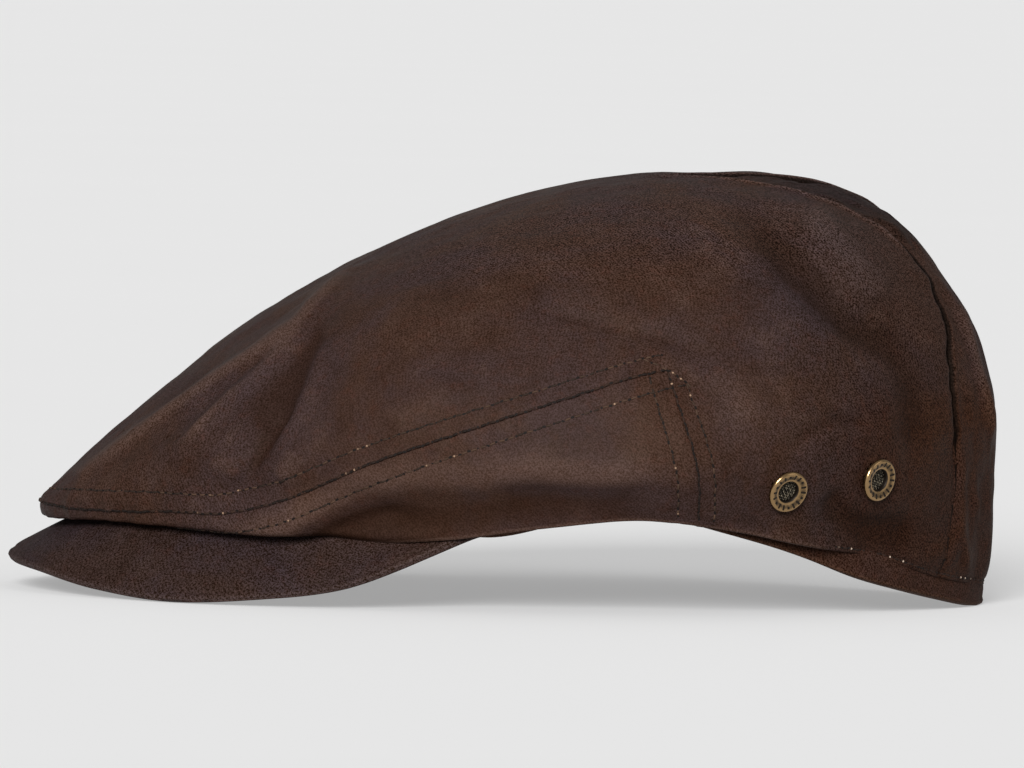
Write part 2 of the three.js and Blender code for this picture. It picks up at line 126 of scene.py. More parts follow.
FOLD_SIDE_BLEND = 30
MAIN_FOLDS = [
    (-1, 1.6, 9, 9, [(-47, 86), (-91, 42)]),
    (-1, -1.7, 6.5, 6.5, [(-51, 63), (-70, 33)]),
    (-1, -1.6, 5.5, 5.5, [(49, 69), (57, 48)]),
    (-1, -1.3, 7, 7, [(78, 93), (98, 83)]),
    (1, 1.4, 10, 10, [(-40, 84), (-84, 46)]),
    (1, -1.5, 7, 7, [(-46, 66), (-62, 38)]),
    (1, -1.4, 7, 7, [(60, 72), (74, 48)]),
    (1, 2.8, 14, 14, [(72, 112), (112, 98)]),
    (0, 2.4, 16, 16, [(60, 47), (104, 50)]),
    (0, -2.2, 13, 13, [(70, 24), (97, 18)]),
]
LEFT_FOLDS = [
    (2.2, 2.1, 1.5, [(-44, 90), (-49, 84), (-58, 74.5), (-66.5, 68), (-76, 62), (-92.5, 50.5),
        (-105, 41), (-117, 32.5)]),
    (-1.0, 2.2, 2.2, [(-64, 67), (-72, 61), (-80, 54.5), (-92, 45)]),
    (-0.9, 3.0, 3.0, [(-52, 86), (-66, 75), (-82, 63), (-100, 49)]),
    (-0.6, 5, 5, [(-66, 62), (-80, 46)]),
    (1.8, 1.7, 1.7, [(-53, 79), (-56, 73.5), (-66, 64.2), (-75.5, 56), (-84, 46), (-88, 42)]),
    (-2.1, 4.6, 3.6, [(-51, 78), (-54, 72), (-59, 62), (-68, 48)]),
    (1.3, 1.5, 2.6, [(-51, 70), (-57.5, 55), (-62, 46)]),
    (-1.8, 1.9, 1.8, [(-60, 55), (-63.4, 50.3), (-67.2, 43.1), (-70.8, 35.8), (-73, 31)]),
    (1.2, 4, 3.4, [(-80, 40), (-75, 37), (-70, 34)]),
    (1.6, 5, 5, [(-57, 43), (-62, 35)]),
    (0.9, 5, 6, [(-32, 51), (-14, 61)]),
    (1.8, 6.5, 4.6, [(-80, 19), (-68, 20), (-58, 23), (-49, 29), (-40, 34.5), (-22, 37), (-6, 37.6),
        (8, 39.4), (24, 38), (38, 39.4), (47, 37)]),
    (-1.6, 3.2, 4, [(-64, 14), (-54, 16.5), (-46, 21.5), (-36, 25), (-26, 27)]),
    (-1.5, 5, 6, [(-54, 16), (-44, 21), (-32, 25), (-14, 26.5), (10, 30), (42, 31)]),
    (0.7, 5, 2.2, [(8, 86), (24, 82.5), (44, 79), (58, 75)]),
    (-1.0, 1.5, 2.4, [(8, 82.5), (19, 80.9), (41, 76.3), (59, 71.9)]),
    (0.8, 6, 5, [(54, 68), (62, 60), (68, 54)]),
    (-1.1, 5.2, 5.0, [(58, 112), (72, 104), (82, 94.7), (90, 84), (99, 75)]),
    (-1.0, 4.8, 5.4, [(66, 107), (75, 101), (84, 92), (94, 80), (104, 73)]),
    (1.3, 6, 5, [(80, 109), (92, 98), (103, 84)]),
    (-1.8, 6.5, 5.5, [(101, 80), (107, 72), (111, 62), (112, 52), (110, 45)]),
    (-1.5, 2.8, 2.2, [(75, 44), (80, 49.5), (90, 54), (100, 53)]),
    (-2.6, 5, 5, [(88, 35), (92, 30), (98, 26.5), (108, 23), (114, 21.5)]),
    (4.0, 1.7, 1.5, [(124, 86), (126.1, 82.3), (128.8, 74.2), (131.4, 65.6), (133.4, 57.6), (136, 45)]),
    (1.1, 1.4, 1.2, [(126.2, 43), (126.2, 33.4), (126.5, 23.1), (128.7, 10)]),
    (1.1, 1.4, 1.2, [(130.5, 31), (132.2, 25.6), (133.6, 20)]),
    (-0.5, 4, 4, [(-20, 92), (-8, 80), (-4, 70)]),
    (0.5, 7, 6, [(-6, 96), (14, 90), (30, 87)]),
]
RIGHT_FOLDS = [
    (0.9, 2.8, 2.0, [(-40, 88), (-56, 70), (-78, 52), (-96, 43)]),
    (-1.1, 3.2, 2.4, [(-50, 66), (-57, 50), (-68, 36)]),
    (1.1, 6, 6, [(-86, 45), (-76, 33)]),
    (1.0, 6, 6, [(-44, 56), (-48, 42)]),
    (-1.1, 3, 3, [(-48, 19), (-36, 31)]),
    (1.0, 4, 5, [(-38, 22), (-22, 38), (12, 46)]),
    (-1.0, 5, 6, [(-28, 25), (8, 30), (40, 34)]),
    (0.8, 5, 2.4, [(14, 81), (34, 78), (56, 71)]),
    (1.0, 6, 6, [(61, 64), (74, 58)]),
    (-1.3, 8, 8, [(90, 52), (104, 39)]),
    (-1.1, 5, 5, [(100, 31), (122, 20)]),
    (0.8, 5, 5, [(110, 84), (122, 62)]),
]
FINE_FOLDS = [(side, *row) for side, rows in ((-1, LEFT_FOLDS), (1, RIGHT_FOLDS)) for row in rows]
FOLD_TAPER = 0.14
FOLD_END = 0.4

# How finely the cloth is made

CROWN_COLUMNS = 640
CROWN_ROWS = 160
HEM_FINER = 14
HEM_FINER_UP_TO = 12
LINING_STEP = 4
PEAK_COLUMNS = 300
PEAK_ROWS = 60
BAND_COLUMNS = 420
BAND_FLARE = 2.2

# Seams and stitches

LAP = 0.25
LAP_FADES = (8.5, 5.4)
ROW_OFFSET = 5.2
SEAM_ROW_OFFSET = 0.3
STITCH_PITCH = 2.7
STITCH_LONG = 2.15
STITCH_WIDE = {"top": 0.58, "seam": 0.72, "hem": 0.6}
HOLE_WIDE = 0.7
HEM_ROW = 1.0
ROWS_OVER_BAND = (("top", ROW_OFFSET, 0), ("seam", SEAM_ROW_OFFSET, 0.9), ("top", -ROW_OFFSET, 4.8))
SIDE_ROWS = (("top", -ROW_OFFSET, -1.5), ("seam", SEAM_ROW_OFFSET, 0), ("top", ROW_OFFSET - 0.4, -4.0))
LOWER_ROW_FROM = -90
CORNER_ROW = table("x z", (36.5, 70.2), (41, 68.6), (45.2, 66.4), (49.2, 63.6), (51.0, 61.6))
HEM_ROW_TURN = 0.98
# Where more hem stitches carry a painted glint.
HEM_GLINTS_X = 99


# Small sums

def ease(low, high, value):
    """0 at one end of a range, 1 at the other, and smooth between them."""
    t = np.clip((value - low) / (high - low), 0, 1)
    return t * t * (3 - 2 * t)


def bell(value, width):
    return np.exp(-((value / width) ** 2))


def through(xs, ys, value):
    """A smooth line through points, read at one value or many."""
    last = len(xs) - 1
    numbers = np.arange(last + 1)
    after = np.minimum(numbers + 1, last)
    before = np.maximum(numbers - 1, 0)
    slope = (ys[after] - ys[before]) / (xs[after] - xs[before])
    at = np.clip(value, xs[0], xs[-1])
    i = np.clip(np.searchsorted(xs, at) - 1, 0, last - 1)
    width = xs[i + 1] - xs[i]
    t = (at - xs[i]) / width
    from_ends = (1 + 2 * t) * (1 - t) ** 2 * ys[i] + t * t * (3 - 2 * t) * ys[i + 1]
    from_slopes = t * (1 - t) ** 2 * slope[i] + t * t * (t - 1) * slope[i + 1]
    return from_ends + width * from_slopes


def catmull(a, b, c, d, t):
    cubic = -a + 3 * b - 3 * c + d
    square = 2 * a - 5 * b + 4 * c - d
    return 0.5 * (2 * b + (c - a) * t + square * t * t + cubic * t * t * t)


def unit(vectors):
    return vectors / np.maximum(np.linalg.norm(vectors, axis=-1, keepdims=True), 1e-9)


def grid_faces(rows, columns, closed=False, looped=False, start=0):
    """Quads between the points of a grid. Closed joins each row's ends, looped the last row and the first."""
    i = np.arange(columns if closed else columns - 1)
    row = np.arange(rows if looped else rows - 1)[:, None]
    nxt = (i + 1) % columns
    low = row * columns
    high = (row + 1) % rows * columns
    return (start + np.stack([low + i, low + nxt, high + nxt, high + i], -1)).reshape(-1, 4).tolist()


def run_along(points):
    """How far along a line of points each of them lies."""
    return np.concatenate([[0], np.cumsum(np.linalg.norm(np.diff(points, axis=0), axis=-1))])


def circle(count):
    return np.linspace(0, 2 * math.pi, count, endpoint=False)


CELL_MIXERS = np.array([374761393, 668265263, 1103515245])
SEED_MIXER = 1442695041
LAST_MIXER = 1274126177


def lattice(cells, seed):
    """A fixed number between -1 and 1 for each cell of whole numbers."""
    mixed = (cells * CELL_MIXERS).sum(-1) + seed * SEED_MIXER
    mixed = (mixed ^ (mixed >> 13)) * LAST_MIXER
    mixed = mixed ^ (mixed >> 16)
    return (mixed & 0xFFFF) / 32767.5 - 1


def cloud(points, size, seed, octaves):
    """Smooth noise between about -1 and 1, with features of one size and finer ones on them."""
    total = np.zeros(points.shape[:-1])
    for octave in range(octaves):
        place = points / size * 2.07**octave + 19.7 * (seed + octave)
        cell = np.floor(place).astype(np.int64)
        part = place - cell
        part = part**3 * (part * (part * 6 - 15) + 10)
        for corner in np.ndindex(2, 2, 2):
            share = np.prod(np.where(np.array(corner) == 1, part, 1 - part), axis=-1)
            total += 0.5**octave * share * lattice(cell + np.array(corner), seed + 31 * octave)
    return total


# The crown's surface. Turn 0 is the centre of the back and a quarter turn the right side; height 0 is the hem
# and height RINGS the apex.

def egg_point(line, turn):
    c = np.cos(turn)
    reach = np.where(c < 0, line["side_x"] - line["front_x"], line["back_x"] - line["side_x"])
    full = np.where(c < 0, line["front_full"], line["back_full"])
    return line["side_x"] + reach * c, line["side_y"] * np.sin(turn) * (1 + full * c * c)


def egg_half_width(line, x):
    c = np.clip((x - line["side_x"]) / (line["side_x"] - line["front_x"]), -1, 0)
    return line["side_y"] * np.sqrt(1 - c * c) * (1 + line["front_full"] * c * c)


def ring_at(index):
    return {name: column[index] for name, column in CROWN_RINGS.items()}


def ring_point(index, turn):
    ring = ring_at(index)
    c = np.cos(turn)
    x, y = egg_point(ring, turn)
    end_z = np.where(c < 0, ring["front_z"], ring["back_z"])
    z = ring["side_z"] + (end_z - ring["side_z"]) * c * c
    return np.stack([x, y, np.where(index == 0, through(HEM["x"], HEM["z"], x), z)], -1)


def row_point(index, turn):
    """A point of one ring, also past the hem and past the apex."""
    zero = np.zeros_like(index)
    below = 2 * ring_point(zero, turn) - ring_point(zero + 1, turn)
    on = ring_point(np.clip(index, 0, RINGS - 1), turn)
    beyond = ring_point(np.clip(2 * RINGS - index, 0, RINGS - 1), turn + math.pi)
    index = index[..., None]
    return np.where(index < 0, below, np.where(index < RINGS, on, np.where(index == RINGS, APEX, beyond)))


def crown_base(turn, height):
    turn, height = np.broadcast_arrays(np.asarray(turn, float), np.asarray(height, float))
    k = np.clip(np.floor(height), 0, RINGS - 1).astype(int)
    a, b, c, d = (row_point(k + step, turn) for step in (-1, 0, 1, 2))
    point = catmull(a, b, c, d, (height - k)[..., None])
    point[..., 2] += LEAN * point[..., 1] * ease(LEAN_FROM, LEAN_FULL, point[..., 2])
    return point


def normals_of(surface, turn, height):
    step = 0.02
    low = np.maximum(height - step, 0)
    high = np.minimum(height + step, RINGS - step)
    middle = (low + high) / 2
    around = surface(turn + step, middle) - surface(turn - step, middle)
    up = surface(turn, high) - surface(turn, low)
    normal = unit(np.cross(around, up))
    return np.where((high <= low)[..., None], np.array([0.0, 0, 1]), normal)


def nearest_on(line, x, z):
    """Where places of the side view lie beside a line: how far off, what share of the way along, the line's
    direction there, and a number above 0 on its left."""
    away = np.full(x.shape, np.inf)
    place = np.zeros(x.shape)
    way = np.zeros((*x.shape, 2))
    left = np.zeros(x.shape)
    run = 0.0
    for start, end in zip(line, line[1:]):
        along = np.subtract(end, start)
        length = math.hypot(*along)
        off_x = x - start[0]
        off_z = z - start[1]
        t = np.clip((off_x * along[0] + off_z * along[1]) / length**2, 0, 1)
        reach = np.hypot(off_x - along[0] * t, off_z - along[1] * t)
        closer = reach < away
        away = np.where(closer, reach, away)
        place = np.where(closer, run + t * length, place)
        way = np.where(closer[..., None], along / length, way)
        left = np.where(closer, along[0] * off_z - along[1] * off_x, left)
        run += length
    return away, place / run, way, left


def fold_height(point, folds, tapered=False):
    """How far the folds lift the cloth."""
    lift = np.zeros(point.shape[:-1])
    for side, height, width_above, width_below, places in folds:
        away, place, way, left = nearest_on(places, point[..., 0], point[..., 2])
        above = left * np.sign(way[..., 0]) > 0
        share = ease(0, FOLD_SIDE_BLEND, point[..., 1] * side) if side else 1
        if tapered:
            ends = ease(0, FOLD_TAPER, place) * ease(1, 1 - FOLD_TAPER, place)
            share = share * (FOLD_END + (1 - FOLD_END) * ends)
        lift += height * share * bell(away, np.where(above, width_above, width_below))
    return lift


# Seams, as lines in the side view and as distances along the cloth

def smooth_line(rows, steps=8, run_on=60):
    """A smooth line through the points of a table, run straight on at both ends."""
    points = np.stack([rows["x"], rows["z"]], -1)
    padded = np.vstack([points[:1], points, points[-1:]])
    t = np.linspace(0, 1, steps, endpoint=False)[:, None]
    parts = [catmull(*padded[i : i + 4], t) for i in range(len(points) - 1)]
    line = np.vstack([*parts, points[-1:]])
    start = line[0] + run_on * unit(line[0] - line[1])
    end = line[-1] + run_on * unit(line[-1] - line[-2])
    return np.vstack([start, line, end])


BAND_LINE = smooth_line(BAND_SEAM)
SIDE_LINE = smooth_line(SIDE_SEAM)


def along_cloth(field, gradient, normal):
    """Turns a field into a distance along the cloth, from how fast it grows there."""
    across = np.sum(gradient * normal, -1, keepdims=True) * normal
    return field / np.maximum(np.linalg.norm(gradient - across, axis=-1), 0.25)


def line_distance(line, point, normal):
    """Distance along the cloth to a line of the side view, above 0 on the line's left."""
    away, _, way, left = nearest_on(line, point[..., 0], point[..., 2])
    gradient = np.stack([-way[..., 1], 0 * away, way[..., 0]], -1)
    return along_cloth(np.where(left < 0, -away, away), gradient, normal)


def gusset_distance(point, normal):
    """Distance along the cloth to the nearer edge of the back gusset, below 0 inside it."""
    hub_x, hub_z = GUSSET_HUB
    angles = np.arctan2(GUSSET["z"] - hub_z, GUSSET["x"] - hub_x)
    order = np.argsort(angles)
    tip = angles.max()

    def field(p):
        off_x = p[..., 0] - hub_x
        off_z = p[..., 2] - hub_z
        angle = np.arctan2(off_z, off_x)
        half = through(angles[order], GUSSET["half"][order], np.minimum(angle, tip))
        past = np.maximum(angle - tip, 0) * np.hypot(off_x, off_z)
        return np.maximum(np.abs(p[..., 1]) - half + past, hub_x - p[..., 0])

    step = 0.05
    here = field(point)
    gradient = np.stack([(field(point + step * axis) - here) / step for axis in np.eye(3)], -1)
    return along_cloth(here, gradient, normal)


def seams_at(point, normal):
    """Distances to the seam over the band, to the side seam, to both as one line, and to the gusset."""
    band = line_distance(BAND_LINE, point, normal)
    side = line_distance(SIDE_LINE, point, normal)
    outside = np.hypot(np.maximum(band, 0), np.maximum(side, 0))
    corner = outside + np.minimum(np.maximum(band, side), 0)
    return {"band": band, "side": side, "panel": corner, "gusset": gusset_distance(point, normal)}


# The peak's middle surface, before it is lifted onto the floor. Turn 0 is its tip and share 1 its free edge.

def peak_point(turn, share):
    c = np.cos(turn)
    edge_z = through(PEAK_EDGE["turn"], PEAK_EDGE["z"], np.abs(np.degrees(turn)))
    outer_x = PEAK["centre_x"] - PEAK["long"] * c
    inner_x = PEAK["centre_x"] + (HEAD_LINE["front_x"] + PEAK["tuck"] - PEAK["centre_x"]) * c
    outer_y = PEAK["wide"] * np.sin(turn)
    inner_y = np.sign(turn) * (egg_half_width(HEAD_LINE, inner_x) - PEAK["tuck"])
    inner_z = PEAK["end_z"] + (PEAK["inner_z"] - PEAK["end_z"]) * c
    x = inner_x + (outer_x - inner_x) * share
    y = inner_y + (outer_y - inner_y) * share
    return np.stack([x, y, edge_z + (inner_z - edge_z) * (1 - share) ** PEAK["rise"]], -1)


def peak_normal(turn, share):
    step = 0.02
    limit = math.pi / 2
    around = peak_point(np.clip(turn + step, -limit, limit), share)
    around = around - peak_point(np.clip(turn - step, -limit, limit), share)
    out = peak_point(turn, np.minimum(share + step, 1)) - peak_point(turn, np.maximum(share - step, 0))
    normal = unit(np.cross(around, out))
    return normal * np.where(normal[..., 2:] < 0, -1, 1)


def peak_lift():
    """How far the CAD model lifts the peak for its low edges to touch the floor."""
    turns = np.linspace(-math.pi / 2, math.pi / 2, PEAK_COLUMNS_IN_CAD + 1)
    edge = np.ones_like(turns)
    rims = peak_point(turns, edge) - peak_normal(turns, edge) * PEAK_EDGE_THICK / 2
    return np.array([0, 0, -rims[:, 2].min()])


PEAK_SEARCH_ROWS = 26
PEAK_SEARCH_COLUMNS = 90
PEAK_SEARCH_TURN = 1.5


def peak_top_tree():
    """The peak's upper face, to be searched for its nearest place."""
    turns = np.linspace(-PEAK_SEARCH_TURN, PEAK_SEARCH_TURN, PEAK_SEARCH_COLUMNS)
    turns, shares = np.meshgrid(turns, np.linspace(0, 1, PEAK_SEARCH_ROWS))
    points = peak_point(turns, shares) + peak_normal(turns, shares) * PEAK_THICK / 2 + peak_lift()
    faces = grid_faces(PEAK_SEARCH_ROWS, PEAK_SEARCH_COLUMNS)
    return BVHTree.FromPolygons(points.reshape(-1, 3).tolist(), faces)


PEAK_TOP = peak_top_tree()


def peak_tuck(base):
    """How the cloth rolls out over the peak and turns in under itself just above it."""
    lift = np.zeros(base.shape[:-1])
    near = (base[..., 0] < TUCK["to_x"]) & (base[..., 2] < TUCK["below_z"])
    gaps = []
    for point in base[near]:
        away = Vector(point) - PEAK_TOP.find_nearest(point)[0]
        gaps.append(math.copysign(away.length, away.z))
    gap = np.array(gaps)
    near_x = base[near][:, 0]
    front = ease(TUCK["to_x"], TUCK["full_x"], near_x)
    roll = ROLL_HEIGHT * np.interp(near_x, ROLL_OVER_PEAK["x"], ROLL_OVER_PEAK["share"])
    bulge = ease(TUCK["low"], TUCK["high"], gap) * ease(*ROLL_FADES_UP, gap)
    lift[near] = roll * bulge - front * TUCK["depth"] * ease(TUCK["high"], TUCK["low"], gap)
    return lift


# The finished cloth

WEAVE_RING = 3
WEAVE_HUB_Z = 35
WEAVE_RADIUS = 85
WEAVE_TOP_Z = 140
GUSSET_WEAVE_RADIUS = 90


def surface_uv(turn, point):
    """Lengths along and across the cloth, which the weave follows: flat over the top, and round the sides."""
    x, y, z = np.moveaxis(point, -1, 0)
    turns = np.linspace(0, math.pi, 400)
    run = run_along(np.stack(egg_point(ring_at(WEAVE_RING), turns), -1))
    folded = np.abs((turn + math.pi) % (2 * math.pi) - math.pi)
    round_edge = np.interp(math.pi / 2, turns, run) - np.interp(folded, turns, run)
    low = ease(95, 60, z)
    along = (x - ring_at(WEAVE_RING)["side_x"]) * (1 - low) + round_edge * low
    up = WEAVE_RADIUS * np.arctan2(y, np.maximum(z - WEAVE_HUB_Z, 1.0))
    across = up * (1 - low) + np.sign(y) * (WEAVE_TOP_Z - z) * low
    return np.stack([along, across], -1)


def gusset_uv(point):
    hub_x, hub_z = GUSSET_HUB
    angle = np.arctan2(point[..., 2] - hub_z, point[..., 0] - hub_x)
    return np.stack([point[..., 1], GUSSET_WEAVE_RADIUS * angle], -1)


def plain_surface(turn, height):
    """The outer face with the main folds only, as the CAD model has it."""
    base = crown_base(turn, height)
    return base + normals_of(crown_base, turn, height) * fold_height(base, MAIN_FOLDS)[..., None]


def find_on_crown(x, z, side):
    """Turn and height of the places of the crown that lie at x and z in the side view."""
    step = 0.01
    turns = side * np.linspace(0.1, math.pi - 0.1, 90)
    heights = np.linspace(0, 7, 60)
    rough = crown_base(turns[None, :], heights[:, None])
    off = np.hypot(rough[..., 0] - x[:, None, None], rough[..., 2] - z[:, None, None])
    row, column = np.divmod(off.reshape(len(x), -1).argmin(1), len(turns))
    turn = turns[column]
    height = heights[row]
    for _ in range(12):
        here = plain_surface(turn, height)
        by_turn = (plain_surface(turn + step, height) - here) / step
        by_height = (plain_surface(turn, height + step) - here) / step
        det = by_turn[:, 0] * by_height[:, 2] - by_height[:, 0] * by_turn[:, 2]
        off_x = x - here[:, 0]
        off_z = z - here[:, 2]
        turn = turn + (by_height[:, 2] * off_x - by_height[:, 0] * off_z) / det
        height = height + (by_turn[:, 0] * off_z - by_turn[:, 2] * off_x) / det
    return turn, height


def eyelet_frames():
    """The centre and the axis of each eyelet, on the cloth with its main folds only, as in the CAD model."""
    frames = {}
    for side, side_name in ((-1, "left"), (1, "right")):
        for name, (x, z) in EYELETS.items():
            place = find_on_crown(np.array([x]), np.array([z]), side)
            frames[f"{side_name}_{name}"] = (plain_surface(*place)[0], normals_of(plain_surface, *place)[0])
    return frames


EYELET_FRAMES = eyelet_frames()


def eyelet_distance(point):
    return np.min([np.linalg.norm(point - centre, axis=-1) for centre, _ in EYELET_FRAMES.values()], axis=0)


# Ridges, or grooves below 0, along an edge, a seam or a ring: height, distance from it, and width

RIDGES = {
    "stitched_row": (-0.22, 0, 0.9),
    "seam_pucker": (0.32, 0, 7.5),
    "crown_edge_at_gusset": (0.7, 2.2, 1.2),
    "gusset_pucker": (0.5, 0, 9),
    "hem_roll": (0.3, 5, 5),
    "hem_flare": (1.0, 0, 1.6),
    "hem_row": (-0.4, HEM_ROW, 0.8),
    "hem_pucker": (0.3, 0, 6),
    "round_eyelet": (-0.35, 7.0, 1.6),
    "under_lap": (-0.1, 0, 1.5),
    "peak_edge": (0.12, 5, 2.5),
    "peak_row": (-0.3, 2.4, 0.6),
    "peak_row_below": (-0.1, 3.2, 0.8),
}

# Uneven places of the cloth: height, size, seed and octaves

CRUMPLES = {
    "broad": (0.4, 24, 1, 3),
    "fine": (0.16, 7, 2, 2),
    "gusset": (0.8, 9, 6, 2),
    "peak": (0.14, 20, 11, 3),
    "band": (0.25, 9, 21, 2),
}


def ridge(name, distance):
    height, place, wide = RIDGES[name]
    return height * bell(distance - place, wide)


def crumple(name, points):
    height, *shape = CRUMPLES[name]
    return height * cloud(points, *shape)


def pucker(along, across, size, seed):
    """Short wrinkles that cross a seam."""
    points = np.stack([along / size, across / (size * 4), np.full(along.shape, seed)], -1)
    return cloud(points, 1.0, seed, 2)


LOW_Z = (80, 50)
MIDDLE_X = (60, 20)
REAR_X = (62, 100)
# Spots where the cloth is tinted greyer as a painted sheen.
SHEEN_SPOTS = table("x z share wide", (90, 95, 0.8, 20), (-70, 60, 0.35, 16))


def wax_look(x, z):
    """Painted shading, darker towards the nose and the back and a little lighter in the middle of the sides;
    how strongly the weave and wax speckle the cloth; and its hue: above 0 low at the back, a redder tint
    painted as shade, and below 0 at two spots, a greyer tint painted as sheen."""
    middle = ease(*LOW_Z, z) * ease(*MIDDLE_X, x)
    rear = ease(*REAR_X, x)
    # Painted shading: darker towards the nose and the back, a little lighter in the middle of the sides.
    painted_shading = 0.02 * middle - 0.05 * ease(-60, -110, x) - 0.12 * rear
    top = 0.65 * ease(80, 108, z)
    front = 0.1 * ease(-60, -90, x)
    grain = 0.6 - 0.2 * middle * ease(-70, -40, x) + np.maximum(np.maximum(top, 0.42 * rear), front)
    # Redder low at the back: a tint painted as shade. The spots below turn it greyer: a painted sheen.
    hue = ease(84, 104, x) * ease(70, 50, z)
    for sheen_x, sheen_z, share, wide in zip(*SHEEN_SPOTS.values()):
        hue = hue - share * bell(np.hypot(x - sheen_x, z - sheen_z), wide)
    return {"painted_shading": painted_shading, "grain": grain, "hue": hue}


def lap_height(panel):
    """How far the crown's turned edge stands proud where it laps over the band."""
    return np.where(panel >= 0, LAP * ease(*LAP_FADES, panel), ridge("under_lap", panel))


CALM_ROUND_EYELET = (5, 16)
BACK_HEM_X = (94, 102)
GUSSET_TOP_Z = (96, 104)
FLARE_FROM_X = (56, 64)
FLARE_TO_X = (100, 84)
HEM_RAISED_X = (84, 100)
# Where the painted shade in the gusset groove fades out, low down.
GROOVE_SHADE_ENDS_Z = (52, 36)
CREASE_DEEPEST_Z = 66


def seam_relief(panel, weave):
    """Rows pressed in by the stitches beside the front band's seams, and the pucker between them."""
    rows = ridge("stitched_row", np.abs(panel) - ROW_OFFSET)
    return rows + pucker(weave[..., 0], panel, 3.4, 3) * ridge("seam_pucker", panel)


def hem_relief(rise, x):
    """The hem: a soft roll, a flare below the eyelets, and a stitched and puckered edge at the back."""
    at_back = ease(*BACK_HEM_X, x)
    flare = ease(*FLARE_FROM_X, x) * ease(*FLARE_TO_X, x)
    stitched = ridge("hem_row", rise) + pucker(x, rise, 3.2, 5) * ridge("hem_pucker", rise)
    return ridge("hem_roll", rise) + flare * ridge("hem_flare", rise) + at_back * stitched


def cloth(turn, height):
    """The outer face of the finished cloth, without the lap, with its normals and what its material reads."""
    base = crown_base(turn, height)
    normal = normals_of(crown_base, turn, height)
    seams = seams_at(base, normal)
    panel = seams["panel"]
    gusset = seams["gusset"]
    x = base[..., 0]
    z = base[..., 2]
    rise = np.linalg.norm(base - crown_base(turn, np.zeros_like(height)), axis=-1)
    weave = surface_uv(turn, base)
    ring = eyelet_distance(base)
    calm = ease(*CALM_ROUND_EYELET, ring)
    on_top = ease(*GUSSET_TOP_Z, z)
    stretched = base * np.array([0.55, 1, 1])
    upright = base * np.array([1, 1, 0.3])

    folds = fold_height(base, FINE_FOLDS, tapered=True)
    folds = folds + crumple("broad", stretched) + crumple("fine", stretched)
    groove_depth = 0.2 + 0.5 * ease(34, 52, z) + 1.6 * bell(z - CREASE_DEEPEST_Z, 16)
    groove = -groove_depth * bell(gusset - 0.8 * (1 - on_top), 1.0)
    under = -0.6 * ease(-3.5, -0.3, gusset) * (gusset <= 0) * on_top
    over = ridge("crown_edge_at_gusset", gusset) * on_top
    back = groove + under + over + pucker(z, gusset, 5.0, 4) * ridge("gusset_pucker", gusset)
    back = back + crumple("gusset", upright) * ease(3, -4, gusset)
    tuck = peak_tuck(base)
    lift = (folds + seam_relief(panel, weave) + back + hem_relief(rise, x)) * calm
    lift = lift + ridge("round_eyelet", ring) + tuck
    main = fold_height(base, MAIN_FOLDS)
    look = wax_look(x, z)
    # Painted shade darkens the gusset where it runs over the top, behind x = 50.
    look["painted_shading"] = look["painted_shading"] - 0.42 * on_top * ease(0.2, -0.4, gusset) * ease(50, 75, x)
    return look | {
        "point": base + normal * (main + lift)[..., None],
        "normal": normal,
        "panel": panel,
        # The gusset value is pushed away low down, so the painted groove shade fades out there.
        "gusset": gusset + np.sign(gusset) * 1.9 * ease(*GROOVE_SHADE_ENDS_Z, z),
        "seam": np.abs(gusset),
        # Raised at the back, so the painted highlight along the hem stops there.
        "hem": rise + 3 * ease(*HEM_RAISED_X, x),
        "weave": weave,
        # The material paints highlights on the ridges of this relief and shade in its hollows; the crown's
        # edge over the gusset counts 2.4 times, and the tuck under the roll adds shade.
        "relief": folds * calm + 0.25 * main + groove + 2.4 * over + np.minimum(tuck, 0),
    }


# Meshes

def add(name, data):
    """A new object of the scene, made of some data."""
    made = bpy.data.objects.new(name, data)
    bpy.context.scene.collection.objects.link(made)
    return made


def mesh_object(name, points, faces, uv=None, values=None):
    """A smooth mesh from points in the CAD model's uncentred millimetres."""
    mesh = bpy.data.meshes.new(name)
    placed = (np.asarray(points, float) + (CENTRING, 0, 0)) * MM
    mesh.from_pydata(placed.tolist(), [], [tuple(map(int, face)) for face in faces])
    mesh.polygons.foreach_set("use_smooth", np.ones(len(mesh.polygons), bool))
    corners = np.empty(len(mesh.loops), int)
    mesh.loops.foreach_get("vertex_index", corners)
    if uv is not None:
        layer = mesh.uv_layers.new(name="weave")
        layer.data.foreach_set("uv", (np.asarray(uv)[corners] * MM).astype(np.float32).ravel())
    for key, column in (values or {}).items():
        attribute = mesh.attributes.new(key, "FLOAT", "POINT")
        attribute.data.foreach_set("value", np.asarray(column, np.float32))
    mesh.update()
    return add(name, mesh)


def even_heights(rows):
    """Heights from the hem to just below the apex, evenly spaced but for finer rows near the hem."""
    fine = np.linspace(0, RINGS, 501)
    run = np.mean([run_along(line) for line in crown_base(circle(12)[:, None], fine)], axis=0)
    eased = run + HEM_FINER * (1 - np.exp(-run / HEM_FINER_UP_TO))
    return np.interp(np.linspace(0, eased[-1], rows + 1)[:-1], eased, fine)


def crown_net(columns, rows):
    """Points of the whole crown by turn and height, and the faces between them."""
    turns = circle(columns)
    heights = even_heights(rows)
    turn = np.concatenate([np.tile(turns, rows), [0]])
    height = np.concatenate([np.repeat(heights, columns), [RINGS]])
    faces = grid_faces(rows, columns, closed=True)
    top = (rows - 1) * columns
    faces += [[top + i, top + (i + 1) % columns, rows * columns] for i in range(columns)]
    return turn, height, faces


